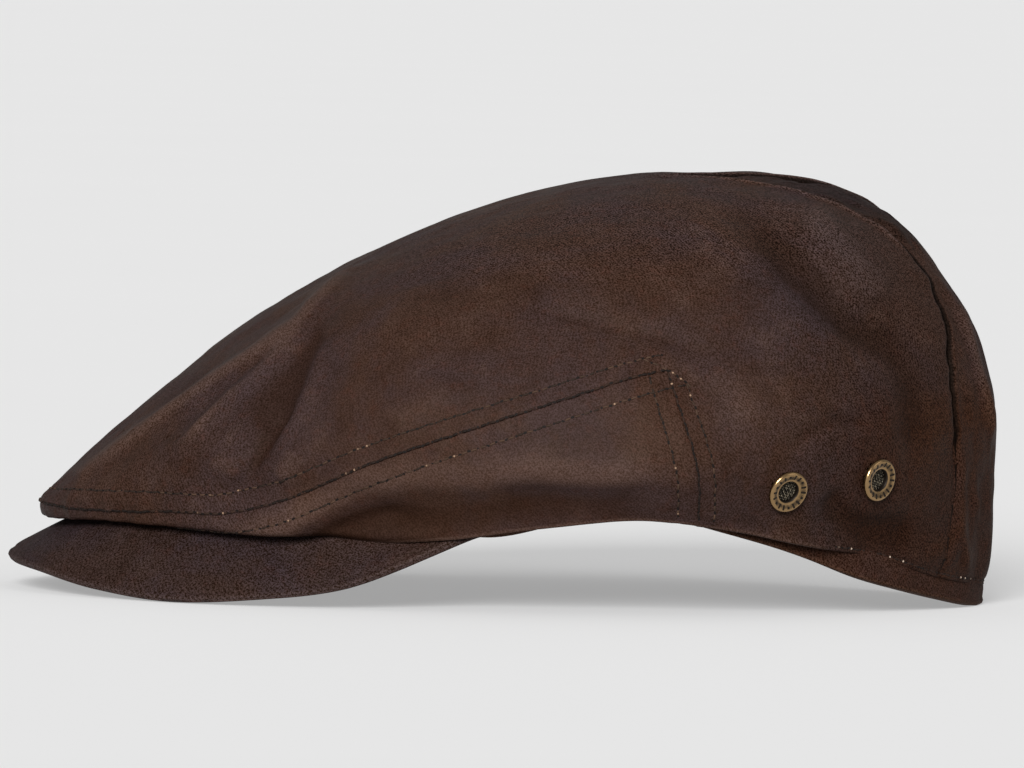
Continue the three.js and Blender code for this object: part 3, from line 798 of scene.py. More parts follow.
def cut(turn, height, faces, values):
    """Cuts faces along a field's zero line. Gives the longer point lists and the faces below and above."""
    turn = list(turn)
    height = list(height)
    fresh = {}

    def crossing(i, j):
        edge = (min(i, j), max(i, j))
        if edge not in fresh:
            a, b = edge
            t = values[a] / (values[a] - values[b])
            turned = (turn[b] - turn[a] + math.pi) % (2 * math.pi) - math.pi
            fresh[edge] = len(turn)
            turn.append(turn[a] + turned * t)
            height.append(height[a] + (height[b] - height[a]) * t)
        return fresh[edge]

    above = [value > 0 for value in values]
    sides = ([], [])
    for face in faces:
        count = sum(above[i] for i in face)
        if count in (0, len(face)):
            sides[count > 0].append(face)
            continue
        parts = ([], [])
        for i, j in zip(face, face[1:] + face[:1]):
            parts[above[i]].append(i)
            if above[i] != above[j]:
                point = crossing(i, j)
                parts[0].append(point)
                parts[1].append(point)
        sides[0].append(parts[0])
        sides[1].append(parts[1])
    return np.array(turn), np.array(height), sides[0], sides[1]


def panels(columns, rows):
    """The net cut along its seams: one list of faces for each panel."""
    turn, height, faces = crown_net(columns, rows)

    def seams():
        return seams_at(crown_base(turn, height), normals_of(crown_base, turn, height))

    turn, height, gusset, rest = cut(turn, height, faces, seams()["gusset"])
    turn, height, front, crown = cut(turn, height, rest, seams()["panel"])
    return turn, height, {"crown_top": crown, "front_band": front, "back_gusset": gusset}


def used_only(faces, *columns):
    """The faces renumbered over the points that they use, with those points' columns."""
    used = sorted({i for face in faces for i in face})
    number = {old: new for new, old in enumerate(used)}
    return [[number[i] for i in face] for face in faces], *(np.asarray(c)[used] for c in columns)


def border(faces):
    """Edges that only one face has, each in its face's own direction."""
    edges = {(i, j) for face in faces for i, j in zip(face, face[1:] + face[:1])}
    return [(i, j) for i, j in edges if (j, i) not in edges]


def rim(faces, edges, points, steps):
    """Adds strips of faces outside some border edges. Each step is an array that moves every point."""
    number = {}
    added = []
    sources = []
    for i, j in sorted(edges):
        for k in (i, j):
            if k not in number:
                number[k] = len(points) + len(added)
                added += [points[k] + step[k] for step in steps]
                sources += [k] * len(steps)
        faces.append([j, i, number[i], number[j]])
        for n in range(len(steps) - 1):
            faces.append([number[j] + n, number[i] + n, number[i] + n + 1, number[j] + n + 1])
    return added, sources


HOLE_IN_CLOTH = 4.5
HOLE_IN_LINING = 5.5
FAR_FROM_SEAMS = 9.0
AT_SEAM = 0.3
AT_LAP = 0.5
GUSSET_DROP = 3.0
LAP_DROP = LAP + 0.4
HEM_BULGE = 0.35
CLOTH_VALUES = ("lap", "gusset", "hem", "relief", "painted_shading", "grain", "hue")


def without_holes(faces, ring, hole):
    """The faces with no point nearer than the hole to the middle of an eyelet."""
    return [face for face in faces if not any(ring[i] < hole for i in face)]


def cloth_pieces():
    """The three cloth panels, each with an outer face, an inner face and a rounded hem."""
    outer_turn, outer_height, outer_panels = panels(CROWN_COLUMNS, CROWN_ROWS)
    outer = cloth(outer_turn, outer_height)
    in_turn, in_height, in_panels = panels(CROWN_COLUMNS // LINING_STEP, CROWN_ROWS // LINING_STEP)
    inner = cloth(in_turn, in_height)
    inner["point"] = inner["point"] - CLOTH * inner["normal"]
    for key in ("gusset", "hem", "lap"):
        inner[key] = np.full(len(in_turn), FAR_FROM_SEAMS)
    outer_ring = eyelet_distance(outer["point"])
    inner_ring = eyelet_distance(inner["point"])
    made = {}
    for name, faces in outer_panels.items():
        faces = without_holes(faces, outer_ring, HOLE_IN_CLOTH)
        faces, height, *columns = used_only(faces, outer_height, *outer.values())
        own = dict(zip(outer, columns))
        weave = gusset_uv(own["point"]) if name == "back_gusset" else own["weave"]
        own["lap"] = np.maximum(own["panel"], 0) if name == "crown_top" else np.minimum(own["panel"], -1e-6)
        lapped = 0 if name == "back_gusset" else lap_height(own["lap"])[:, None]
        points = own["point"] + own["normal"] * lapped
        down = -own["normal"]
        edges = border(faces)
        hem = [edge for edge in edges if height[edge[0]] == 0 and height[edge[1]] == 0]
        turned = [down * 0.45 * CLOTH - (0, 0, HEM_BULGE), down * CLOTH]
        added, sources = rim(faces, hem, points, turned)
        if name != "back_gusset":
            at_gusset = own["seam"] < AT_SEAM
            at_lap = at_gusset | (np.abs(own["lap"]) < AT_LAP) & (name == "crown_top")
            drop = down * np.where(at_gusset, GUSSET_DROP, LAP_DROP)[:, None]
            lap = [edge for edge in edges if at_lap[edge[0]] and at_lap[edge[1]] and edge not in hem]
            more, more_sources = rim(faces, lap, np.vstack([points, *added]), [drop])
            added += more
            sources += more_sources
        first_inner = len(points) + len(added)
        lining = without_holes(in_panels[name], inner_ring, HOLE_IN_LINING)
        lining, *columns = used_only([face[::-1] for face in lining], *inner.values())
        inside = dict(zip(inner, columns))
        faces += [[first_inner + i for i in face] for face in lining]
        made[name] = mesh_object(
            name,
            np.vstack([points, *added, inside["point"]]),
            faces,
            np.vstack([weave, weave[sources], inside["weave"]]),
            {key: np.concatenate([own[key], own[key][sources], inside[key]]) for key in CLOTH_VALUES},
        )
    return made


# Stitches

def resample(turn, height, pitch):
    """Even places along a line of turns and heights."""
    run = run_along(crown_base(turn, height))
    places = np.arange(pitch / 2, run[-1], pitch)
    return np.interp(places, run, turn), np.interp(places, run, height)


def meeting(values, level, places):
    """Where a row of values first passes a level: a number in the row and a place, or nothing."""
    over = values >= level
    hits = np.flatnonzero(over[:-1] != over[1:])
    if len(hits) == 0:
        return None
    i = hits[0]
    t = (level - values[i]) / (values[i + 1] - values[i])
    return i, places[i] + t * (places[i + 1] - places[i])


def seams_on_grid(turns, heights):
    turn, height = np.broadcast_arrays(turns, heights)
    return seams_at(crown_base(turn, height), normals_of(crown_base, turn, height))


def seam_rows():
    """Lines of stitches as turns and heights, by the name of their thread."""
    turns = np.linspace(0.25 * math.pi, 1.75 * math.pi, 700)
    heights = np.linspace(0, 7, 300)
    columns = seams_on_grid(turns[:, None], heights)["band"]
    rows = []
    for thread, level, stop in ROWS_OVER_BAND:
        met = [(turn, meeting(column, level, heights)) for turn, column in zip(turns, columns)]
        turn, height = np.array([(turn, found[1]) for turn, found in met if found]).T
        place = crown_base(turn, height)
        keep = line_distance(SIDE_LINE, place, normals_of(crown_base, turn, height)) < stop
        parts = [keep]
        if level < 0:
            keep = keep & (place[:, 0] > LOWER_ROW_FROM)
            parts = [keep & (place[:, 1] < 0), keep & (place[:, 1] > 0)]
        rows += [(thread, turn[part], height[part]) for part in parts]
    for side in (-1, 1):
        rows += side_rows(side)
        rows.append(("top", *find_on_crown(CORNER_ROW["x"], CORNER_ROW["z"], side)))
    back_turn = np.linspace(-HEM_ROW_TURN, HEM_ROW_TURN, 240)
    rows.append(("hem", back_turn, np.array([height_above_hem(turn, HEM_ROW) for turn in back_turn])))
    return rows


def height_above_hem(turn, rise):
    heights = np.linspace(0, 1.5, 60)
    line = crown_base(turn, heights)
    return float(np.interp(rise, np.linalg.norm(line - line[0], axis=-1), heights))


def side_rows(side):
    """Rows beside the side seam, each from near the seam's corner down to the hem."""
    heights = np.linspace(0.25, 5, 220)
    turns = side * np.linspace(0.9, 2.1, 260)
    seams = seams_on_grid(turns, heights[:, None])
    rows = []
    for thread, level, top in SIDE_ROWS:
        found = []
        for height, across, up in zip(heights, seams["side"], seams["band"]):
            met = meeting(across, level, turns)
            if met and up[met[0]] < top:
                found.append((met[1], height))
        rows.append((thread, *np.array(found).T))
    return rows


STITCH_RINGS = 6
STITCH_SIDES = 6
STITCH_FLAT = 0.75
HOLE_PAST_STITCH = 0.1
HOLE_LIFT = 0.06


def stitch_mesh(centres, along, normal, wide):
    """Many short stitches, each a bead between two flat discs painted dark as the shade in needle holes:
    points, faces and each point's part.
    """
    across = np.cross(normal, along)
    points = []
    parts = []

    def place(reach, aside, up, part):
        points.append(centres + along * reach + across * aside + normal * up)
        parts.append(part)

    # The ring at k = 2 is marked 1, for the painted glint across the stitch.
    for k, t in enumerate(np.linspace(-1, 1, STITCH_RINGS)):
        radius = wide / 2 * math.sqrt(max(1 - abs(t) ** 3, 0.02))
        rise = wide * (0.14 - 0.45 * t * t)
        for angle in circle(STITCH_SIDES):
            up = rise + STITCH_FLAT * radius * math.sin(angle)
            place(t * STITCH_LONG / 2, radius * math.cos(angle), up, 1.0 if k == 2 else 0.0)
    # Flat discs at both ends, painted dark as the shade inside the needle holes.
    for end in (-1, 1):
        middle = end * (STITCH_LONG / 2 + HOLE_PAST_STITCH)
        for angle in circle(STITCH_SIDES):
            reach = middle + HOLE_WIDE / 2 * math.cos(angle)
            place(reach, HOLE_WIDE / 2 * math.sin(angle), HOLE_LIFT, -1.0)
    points = np.stack(points, 1)
    size = points.shape[1]
    ends = [list(range(first, first + STITCH_SIDES)) for first in range(0, size, STITCH_SIDES)]
    faces = grid_faces(STITCH_RINGS, STITCH_SIDES, closed=True)
    faces += [ends[0][::-1], *ends[STITCH_RINGS - 1 :]]
    all_faces = [[n * size + i for i in face] for n in range(len(centres)) for face in faces]
    return points.reshape(-1, 3), all_faces, np.tile(parts, len(centres))


def thread_tone(stitch, row):
    """How light one stitch is: its own chance, and a slower one that its neighbours share."""
    shared = noise.noise(Vector((stitch * 0.11, row * 3.1, 8.2)))
    return noise.noise(Vector((stitch * 0.83, row * 5.2, 3.7))) + 0.6 * shared


def stitch_pieces():
    """One object for the stitches of each thread."""
    made = {}
    seams = seam_rows()
    for thread, wide in STITCH_WIDE.items():
        all_points = []
        all_faces = []
        tones = []
        places = []
        first = 0
        rows = [(turn, height) for name, turn, height in seams if name == thread]
        for number, (turn, height) in enumerate(rows):
            found = cloth(*resample(turn, height, STITCH_PITCH))
            normal = found["normal"]
            count = len(normal)
            centre = found["point"] + normal * lap_height(found["panel"])[:, None]
            along = unit(np.gradient(centre, axis=0))
            swing = 0.14 * np.sin(np.arange(count) * 2.4 + number)
            along = unit(along + np.cross(normal, along) * swing[:, None])
            normal = unit(normal - along * np.sum(along * normal, -1, keepdims=True))
            points, faces, place = stitch_mesh(centre, along, normal, wide)
            tone = np.array([thread_tone(n, number) for n in range(count)])
            if thread == "hem":
                # Near x = 99 more hem stitches are light and carry the painted glint.
                tone = tone + 0.45 * bell(centre[:, 0] - HEM_GLINTS_X, 12)
            all_points.append(points)
            all_faces += [[first + i for i in face] for face in faces]
            tones.append(np.repeat(tone, len(points) // count))
            places.append(place)
            first += len(points)
        values = {"tone": np.concatenate(tones), "place": np.concatenate(places)}
        made[thread] = mesh_object(f"stitches_{thread}", np.vstack(all_points), all_faces, values=values)
    return made


def edge_values(edge, hue):
    """The cloth's attributes for a piece that has an edge and no seams."""
    same = {"lap": FAR_FROM_SEAMS, "gusset": FAR_FROM_SEAMS, "relief": 0, "painted_shading": 0, "grain": 0.9, "hue": hue}
    return {"hem": edge} | {key: np.full(len(edge), value) for key, value in same.items()}


# Peak

def peak_start(turn):
    """The share at which each row of the peak leaves the head opening."""
    low = np.zeros_like(turn)
    high = np.ones_like(turn)
    for _ in range(24):
        middle = (low + high) / 2
        point = peak_point(turn, middle)
        width = egg_half_width(HEAD_LINE, np.minimum(point[..., 0], HEAD_LINE["side_x"])) + GAP
        inside = (np.abs(point[..., 1]) < width) & (point[..., 0] > HEAD_LINE["front_x"] - GAP)
        low = np.where(inside, middle, low)
        high = np.where(inside, high, middle)
    return high


PEAK_ROUNDED = 3.0
PEAK_ROUNDED_SHARE = 0.62
PEAK_WEAVE = (55, 1.7)


def peak_piece():
    """The peak's cover: an upper and an under face that meet round its edge, with a groove beside it."""
    limit = math.pi / 2 - 0.002
    turn = np.linspace(-limit, limit, PEAK_COLUMNS)
    start = peak_start(turn)
    step = 1 - (1 - np.linspace(0, 1, PEAK_ROWS)) ** 1.5
    share = start + (1 - start) * step[:, None]
    turns = np.broadcast_to(turn, share.shape)
    middle = peak_point(turns, share)
    normal = peak_normal(turns, share)
    to_edge = np.linalg.norm(middle - middle[-1], axis=-1)
    reach = np.minimum(to_edge, PEAK_ROUNDED) / PEAK_ROUNDED
    arc = np.sqrt(np.clip(1 - (1 - reach) ** 2, 0, 1))
    half = PEAK_THICK / 2 * (PEAK_ROUNDED_SHARE * arc + (1 - PEAK_ROUNDED_SHARE) * (reach > 0))
    uneven = (crumple("peak", middle) + ridge("peak_edge", to_edge)) * reach
    top = middle + normal * (half + uneven + ridge("peak_row", to_edge))[..., None]
    under = middle - normal * (half + ridge("peak_row_below", to_edge))[..., None]
    points = np.vstack([top, under[::-1]]).reshape(-1, 3) + peak_lift()
    last = 2 * PEAK_ROWS - 1
    faces = grid_faces(last + 1, PEAK_COLUMNS, looped=True)
    for r in range(PEAK_ROWS - 1):
        for column, flip in ((0, 1), (PEAK_COLUMNS - 1, -1)):
            faces.append([n * PEAK_COLUMNS + column for n in (r, r + 1, last - 1 - r, last - r)][::flip])
    uv = np.stack([share * PEAK_WEAVE[0], np.degrees(turns) * PEAK_WEAVE[1]], -1)
    uv = np.vstack([uv.reshape(-1, 2), uv.reshape(-1, 2)[::-1]])
    edge = np.concatenate([to_edge.ravel(), to_edge[::-1].ravel()])
    return mesh_object("peak_cloth", points, faces, uv, edge_values(edge, -0.7))


# Head band

BAND_SECTION = table(
    "rise inset",
    (0, 0.45), (0.35, 0.12), (1, 0), (2, 0.12), (4, 0), (8, 0), (12, 0), (16, 0), (20, 0), (24, 0),
    (BAND_WIDTH, 0.2),
)
BAND_FLARE_X = (84, 102)
BAND_FLARE_RISE = (12, 7.5)
BAND_WAVE = 0.013
BAND_FOOT_LIFT = 0.05


def head_band_piece():
    """The strip round the head opening, with a hemmed lower edge that flares a little at the back."""
    turn = circle(BAND_COLUMNS)
    inner = dict(HEAD_LINE)
    inner["front_x"] += BAND_THICK
    inner["side_y"] -= BAND_THICK
    inner["back_x"] -= BAND_THICK
    out = np.stack(egg_point(HEAD_LINE, turn), -1)
    within = np.stack(egg_point(inner, turn), -1)
    low = np.maximum(0, through(BAND_BOTTOM["x"], BAND_BOTTOM["z"], out[:, 0]))
    wave = BAND_WAVE * crumple("band", np.column_stack([out, low]))[:, None]
    outward = unit(out - within) * (BAND_FLARE * ease(*BAND_FLARE_X, out[:, 0]))[:, None]
    section = list(zip(BAND_SECTION["rise"], BAND_SECTION["inset"]))
    points = []
    for rise, inset in section:
        flat = out + (within - out) * (inset + rise * wave) + outward * ease(*BAND_FLARE_RISE, rise)
        points.append(np.column_stack([flat, low + (rise or BAND_FOOT_LIFT)]))
    for rise, inset in section[::-1]:
        points.append(np.column_stack([within + (out - within) * inset, low + rise]))
    points = np.array(points)
    rows = len(points)
    faces = grid_faces(rows, BAND_COLUMNS, closed=True, looped=True)
    uv = np.stack([np.tile(run_along(out), rows), points[..., 2].ravel()], -1)
    edge = np.repeat([rise for rise, _ in section + section[::-1]], BAND_COLUMNS)
    return mesh_object("head_band_cloth", points.reshape(-1, 3), faces, uv, edge_values(edge, 0.8))


# Eyelets

RING_OUTLINE = table(
    "radius height tone",
    (2.9, -2.9, 0.9), (4.1, -2.9, 0.9), (4.1, 0.15, 0.9), (5.68, 0.1, 0.8), (5.92, 0.4, 0.5),
    (5.95, 0.75, 0.3), (5.84, 1.12, 0.1), (5.6, 1.4, 0.0), (5.3, 1.54, 0.05), (4.95, 1.5, 0.45),
    (4.5, 1.36, 0.62), (4.05, 1.18, 0.62), (3.7, 1.04, 0.45), (3.45, 0.98, 0.1), (3.26, 0.94, 0.35),
    (3.12, 0.82, 0.95), (2.96, 0.6, 1.0), (2.9, 0.3, 1.0), (2.88, 0.0, 1.0), (2.86, -0.2, 1.0),
)
RING_FACE = slice(16, 6, -1)
RING_STEPS = 96
MARKS = 18
MARK_STEPS = 5
MARK_LIFT = 0.03
DASH = {"inner": 3.85, "outer": 5.2, "half": 0.28}
DOT = {"inner": 4.25, "outer": 4.95, "half": 0.34}
WIRE_PITCH = 0.66
WIRE_RADIUS = 0.16
WIRE_SLANT = 0.3
WIRE_SIDES = 6
WIRE_STEPS_A_PITCH = 4
GAUZE_DEPTH = 0.45


def eyelet_axes(normal):
    """Two directions across an eyelet's axis, the second one uphill."""
    level = unit(np.cross(np.array([0.0, 0, 1]), normal))
    return level, np.cross(normal, level)


def mark_points():
    """Plain dark dashes, and a dot after each pair, let into the face of the ring."""
    points = []
    faces = []
    for n, angle in enumerate(circle(MARKS)):
        mark = DOT if n % 3 == 2 else DASH
        faces += grid_faces(MARK_STEPS, 2, start=len(points))
        for radius in np.linspace(mark["inner"], mark["outer"], MARK_STEPS):
            height = np.interp(radius, RING_OUTLINE["radius"][RING_FACE], RING_OUTLINE["height"][RING_FACE])
            for side in (-1, 1):
                turn = angle + side * mark["half"] / radius
                points.append((radius * math.cos(turn), radius * math.sin(turn), height + MARK_LIFT))
    return np.array(points), faces


def ring_piece(name, centre, normal):
    axes = np.array([*eyelet_axes(normal), normal])
    angles = circle(RING_STEPS)
    outline = zip(RING_OUTLINE["radius"], RING_OUTLINE["height"])
    rings = [np.stack([r * np.cos(angles), r * np.sin(angles), 0 * angles + h], -1) for r, h in outline]
    marks, mark_faces = mark_points()
    points = np.vstack([*rings, marks])
    faces = [face[::-1] for face in grid_faces(len(rings), RING_STEPS, closed=True, looped=True)]
    first = len(points) - len(marks)
    faces += [[first + i for i in face] for face in mark_faces]
    tone = np.concatenate([np.repeat(RING_OUTLINE["tone"], RING_STEPS), np.ones(len(marks))])
    return mesh_object(name, centre + points @ axes, faces, values={"tone": tone})


def gauze_piece(name, centre, normal):
    """Woven wires across the eyelet, laid aslant."""
    level, uphill = eyelet_axes(normal)
    first_way = unit(uphill + WIRE_SLANT * level)
    second_way = np.cross(normal, first_way)
    radius = RING_OUTLINE["radius"][0] - 0.02
    count = int(radius / WIRE_PITCH)
    points = []
    faces = []
    for way, cross, flip in ((first_way, second_way, 0), (second_way, first_way, 1)):
        for n in range(-count, count + 1):
            offset = n * WIRE_PITCH
            half = math.sqrt(max(radius**2 - offset**2, 0.01))
            steps = max(int(half * 2 / (WIRE_PITCH / WIRE_STEPS_A_PITCH)), 6)
            along = np.linspace(-half, half, steps)
            over = np.cos(math.pi * (along / WIRE_PITCH + n + flip)) * WIRE_RADIUS
            core = centre + np.outer(along, way) + offset * cross + np.outer(over - GAUZE_DEPTH, normal)
            faces += grid_faces(WIRE_SIDES, steps, looped=True, start=len(points))
            for angle in circle(WIRE_SIDES):
                points.extend(core + WIRE_RADIUS * (math.cos(angle) * cross + math.sin(angle) * normal))
    return mesh_object(name, np.array(points), faces)


# Materials

class Shader:
    """A material and short ways to add nodes to it."""

    def __init__(self, name):
        self.material = bpy.data.materials.new(name)
        self.material.use_nodes = True
        self.tree = self.material.node_tree
        self.place = self.node("ShaderNodeTexCoord").outputs["Object"]

    def fill(self, node, inputs):
        """Links or sets a node's inputs, by their names or numbers."""
        for key, value in inputs.items():
            if isinstance(value, bpy.types.NodeSocket):
                self.tree.links.new(value, node.inputs[key])
            else:
                node.inputs[key].default_value = value
        return node

    def node(self, kind, settings=None, **inputs):
        node = self.tree.nodes.new(kind)
        for key, value in (settings or {}).items():
            setattr(node, key, value)
        return self.fill(node, inputs)

    def surface(self, inputs):
        """Sets the material's surface, and gives the material."""
        self.fill(self.tree.nodes["Principled BSDF"], inputs)
        return self.material

    def math(self, operation, *values):
        node = self.node("ShaderNodeMath", {"operation": operation})
        return self.fill(node, dict(enumerate(values))).outputs[0]

    def noise(self, scale, detail=3.0, roughness=0.55, distortion=0.0):
        values = {"Scale": scale, "Detail": detail, "Roughness": roughness, "Distortion": distortion}
        return self.node("ShaderNodeTexNoise", Vector=self.place, **values).outputs["Fac"]

    def remap(self, *values):
        """Eases a value from one range into another: the value, low, high, and then 0 and 1 or other ends."""
        node = self.node("ShaderNodeMapRange", {"interpolation_type": "SMOOTHSTEP"})
        return self.fill(node, dict(enumerate(values))).outputs[0]

    def mix(self, share, first, second, way="MIX"):
        node = self.node("ShaderNodeMix", {"data_type": "RGBA", "blend_type": way})
        return self.fill(node, {0: share, 6: first, 7: second}).outputs[2]

    def tinted(self, share, color, tint):
        return self.mix(share, color, self.mix(1.0, color, tint, "MULTIPLY"))

    def attribute(self, name):
        return self.node("ShaderNodeAttribute", {"attribute_name": name}).outputs["Fac"]

    def bump(self, height, strength, distance, **below):
        node = self.node("ShaderNodeBump", Strength=strength, Distance=distance, Height=height, **below)
        return node.outputs["Normal"]


def linear(red, green, blue):
    """A colour given as a screen shows it, from 0 to 255, as the shader's own."""
    shown = np.array([red, green, blue]) / 255
    parts = np.where(shown <= 0.04045, shown / 12.92, ((shown + 0.055) / 1.055) ** 2.4)
    return (*parts.tolist(), 1.0)


WARM = linear(56, 38, 30)
GREY = linear(54, 40, 38)
# Dark mottle of the wax, and also painted shade in hollows and along the lap's edge.
DARK = linear(38, 22, 14)
# Painted shade in the groove beside the gusset.
PAINTED_GROOVE_SHADE = linear(18, 11, 8)
# Pale mottle of the wax, and also painted highlights on ridges and edges.
PALE_WEAR_AND_HIGHLIGHT = linear(78, 59, 51)
RUST = linear(66, 37, 27)
# Painted shade inside the needle holes.
HOLE_SHADE = linear(17, 10, 7)
BRASS = linear(150, 122, 86)
PATINA = linear(26, 18, 11)
# A redder tint painted as shade, and a greyer tint painted as sheen.
REDDER_TINT = (0.92, 0.74, 0.55, 1.0)
GREYER_TINT = (1.0, 1.16, 1.42, 1.0)
SHEEN = (1, 0.8, 0.65, 1)
SPECKLE = {"Red": 0.86, "Green": 1.0, "Blue": 1.2}
TWILL_PITCH = 0.0011
TWILL_SLOPE = 0.8


def cloth_material(name, tone, rough):
    """Waxed cotton: a fine twill under a mottled wax, with painted highlights on its ridges and edges, and
    painted shade in its hollows, in the gusset groove and along the lap's edge.
    """
    s = Shader(name)
    weave = s.node("ShaderNodeUVMap", {"uv_map": "weave"}).outputs["UV"]
    lap = s.math("ABSOLUTE", s.attribute("lap"))
    gusset = s.attribute("gusset")
    relief = s.attribute("relief")
    hue = s.attribute("hue")
    clouds = s.noise(24, 5, 0.6, 0.5)
    blotch = s.noise(85, 4, 0.62, 0.3)
    fleck = s.noise(260, 3, 0.7)
    groove_shade_mask = s.math("MULTIPLY", s.remap(gusset, 1.7, 1.0), s.remap(gusset, -1.2, -0.3))
    color = s.mix(s.remap(clouds, 0.38, 0.62), WARM, GREY)
    for share, layer in (
        (s.remap(blotch, 0.52, 0.76, 0, 0.35), PALE_WEAR_AND_HIGHLIGHT),
        (s.remap(blotch, 0.5, 0.28, 0, 0.4), DARK),
        (s.remap(fleck, 0.5, 0.75, 0, 0.3), RUST),
        # Painted highlight on the ridges of the relief, and painted shade in its hollows.
        (s.remap(relief, 0.3, 2.0, 0, 0.6), PALE_WEAR_AND_HIGHLIGHT),
        (s.remap(relief, -0.2, -2.0, 0, 0.75), DARK),
        # Painted shade along the lap's edge.
        (s.remap(lap, 0.3, 0.05, 0, 0.15), DARK),
        # Painted shade in the groove beside the gusset.
        (s.math("MULTIPLY", groove_shade_mask, 0.95), PAINTED_GROOVE_SHADE),
        # A painted highlight along the edges.
        (s.remap(s.attribute("hem"), 1.3, 0.3, 0, 0.6), PALE_WEAR_AND_HIGHLIGHT),
    ):
        color = s.mix(share, color, layer)

    parts = s.node("ShaderNodeSeparateXYZ", Vector=weave)
    across = s.math("ADD", parts.outputs["X"], s.math("MULTIPLY", fleck, 0.0008))
    diagonal = s.math("ADD", across, s.math("MULTIPLY", parts.outputs["Y"], TWILL_SLOPE))
    twill = s.math("SINE", s.math("MULTIPLY", diagonal, 2 * math.pi / TWILL_PITCH))
    grained = s.math("ADD", s.math("MULTIPLY", twill, 0.035), s.noise(2300, 1, 0.6))
    swing = s.math("MULTIPLY", s.remap(grained, 0.28, 0.72, -1, 1), s.attribute("grain"))
    # Painted shading from the cloth's attribute, added to the panel's tone, scales the speckled colour.
    painted_shading = s.math("ADD", s.attribute("painted_shading"), tone)
    speckled = {}
    for channel, share in SPECKLE.items():
        spread = s.math("ADD", s.math("MULTIPLY", swing, share), 1.04)
        speckled[channel] = s.math("MULTIPLY", s.math("MAXIMUM", spread, 0.1), painted_shading)
    color = s.mix(1.0, color, s.node("ShaderNodeCombineColor", **speckled).outputs[0], "MULTIPLY")
    # A redder tint, painted as shade low at the back and also over the whole head band; a greyer tint,
    # painted as sheen at two spots and also over the whole peak.
    color = s.tinted(s.remap(hue, 0, 1), color, REDDER_TINT)
    color = s.tinted(s.remap(hue, 0, -1), color, GREYER_TINT)

    wax = s.math("ADD", s.math("MULTIPLY", blotch, 0.6), s.math("MULTIPLY", clouds, 0.4))
    crumpled = s.bump(s.noise(140, 6, 0.62, 0.8), 0.3, 0.001)
    return s.surface({
        "Base Color": color,
        "Roughness": s.remap(wax, 0.35, 0.65, rough - 0.08, rough + 0.12),
        "Specular IOR Level": 0.05,
        "Specular Tint": SHEEN,
        "Normal": s.bump(grained, 0.4, 0.00025, Normal=crumpled),
    })


def thread_material(name, color, light, glint_from):
    """Sewing thread toned to the cloth, with a painted glint across the middle of a few stitches, and discs
    at the stitch ends painted dark as the shade in the needle holes.
    """
    s = Shader(name)
    tone = s.attribute("tone")
    part = s.attribute("place")
    darker, lighter = (linear(*(share * c for c in color)) for share in (0.6, 1.1))
    mixed = s.mix(s.remap(tone, -0.25, 0.4), darker, lighter)
    # Painted glint across the middle of the lighter stitches.
    glint_share = s.math("MULTIPLY", s.remap(tone, glint_from, glint_from + 0.08), s.remap(part, 0.3, 0.7))
    mixed = s.mix(glint_share, mixed, linear(*light))
    return s.surface({
        # The discs at the stitch ends are painted dark as the shade in the needle holes.
        "Base Color": s.mix(s.remap(part, -0.5, -0.9), mixed, HOLE_SHADE),
        "Roughness": 0.7,
        "Specular IOR Level": 0.15,
        "Normal": s.bump(s.noise(2600, 2), 0.5, 0.0001),
    })


def brass_material():
    """Antiqued brass: bright on its edges, with a brown patina in the track."""
    s = Shader("antique_brass")
    spots = s.noise(900, 4, 0.65)
    spotted = s.math("MULTIPLY", s.math("SUBTRACT", spots, 0.5), 0.9)
    patina = s.remap(s.math("ADD", s.attribute("tone"), spotted), 0.25, 0.85)
    return s.surface({
        "Base Color": s.mix(patina, BRASS, PATINA),
        "Metallic": s.remap(patina, 0, 1, 1.0, 0.7),
        "Roughness": s.remap(patina, 0, 1, 0.22, 0.55),
        "Normal": s.bump(spots, 0.25, 0.0001),
    })


def wire_material():
    s = Shader("black_wire")
    spots = s.noise(1500, 3, 0.6)
    return s.surface({
        "Base Color": s.mix(s.remap(spots, 0.4, 0.7), linear(34, 30, 24), linear(124, 114, 96)),
        "Metallic": 0.7,
        "Roughness": s.remap(spots, 0.3, 0.7, 0.3, 0.5),
    })


def floor_material():
    s = Shader("pale_floor")
    return s.surface({
        "Base Color": s.mix(s.noise(3, 2), (0.495, 0.495, 0.495, 1), (0.505, 0.505, 0.505, 1)),
        "Emission Color": (1, 1, 1, 1),
        "Emission Strength": FLOOR_GLOW,
        "Roughness": 0.9,
        "Specular IOR Level": 0.1,
    })


# The cap

CLOTHS = {
    "crown_top": ("crown_cloth", "waxed_crown", 0.88, 0.52),
    "front_band": ("band_cloth", "waxed_band", 0.94, 0.5),
    "back_gusset": ("gusset_cloth", "waxed_gusset", 1.04, 0.6),
    "peak": ("peak_cloth", "waxed_peak", 0.66, 0.6),
    "head_band": ("head_band_cloth", "band_inside", 0.92, 0.65),
}
THREADS = {
    "top": ("band_cloth", (66, 49, 38), (150, 122, 100), 0.5),
    "seam": ("band_cloth", (42, 28, 21), (150, 122, 100), 0.5),
    "hem": ("gusset_cloth", (44, 29, 22), (200, 180, 162), 0.4),
}


def dress(piece, material, slot, *nodes):
    piece.data.materials.append(material)
    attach(piece, "root")
    if nodes:
        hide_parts(*nodes)


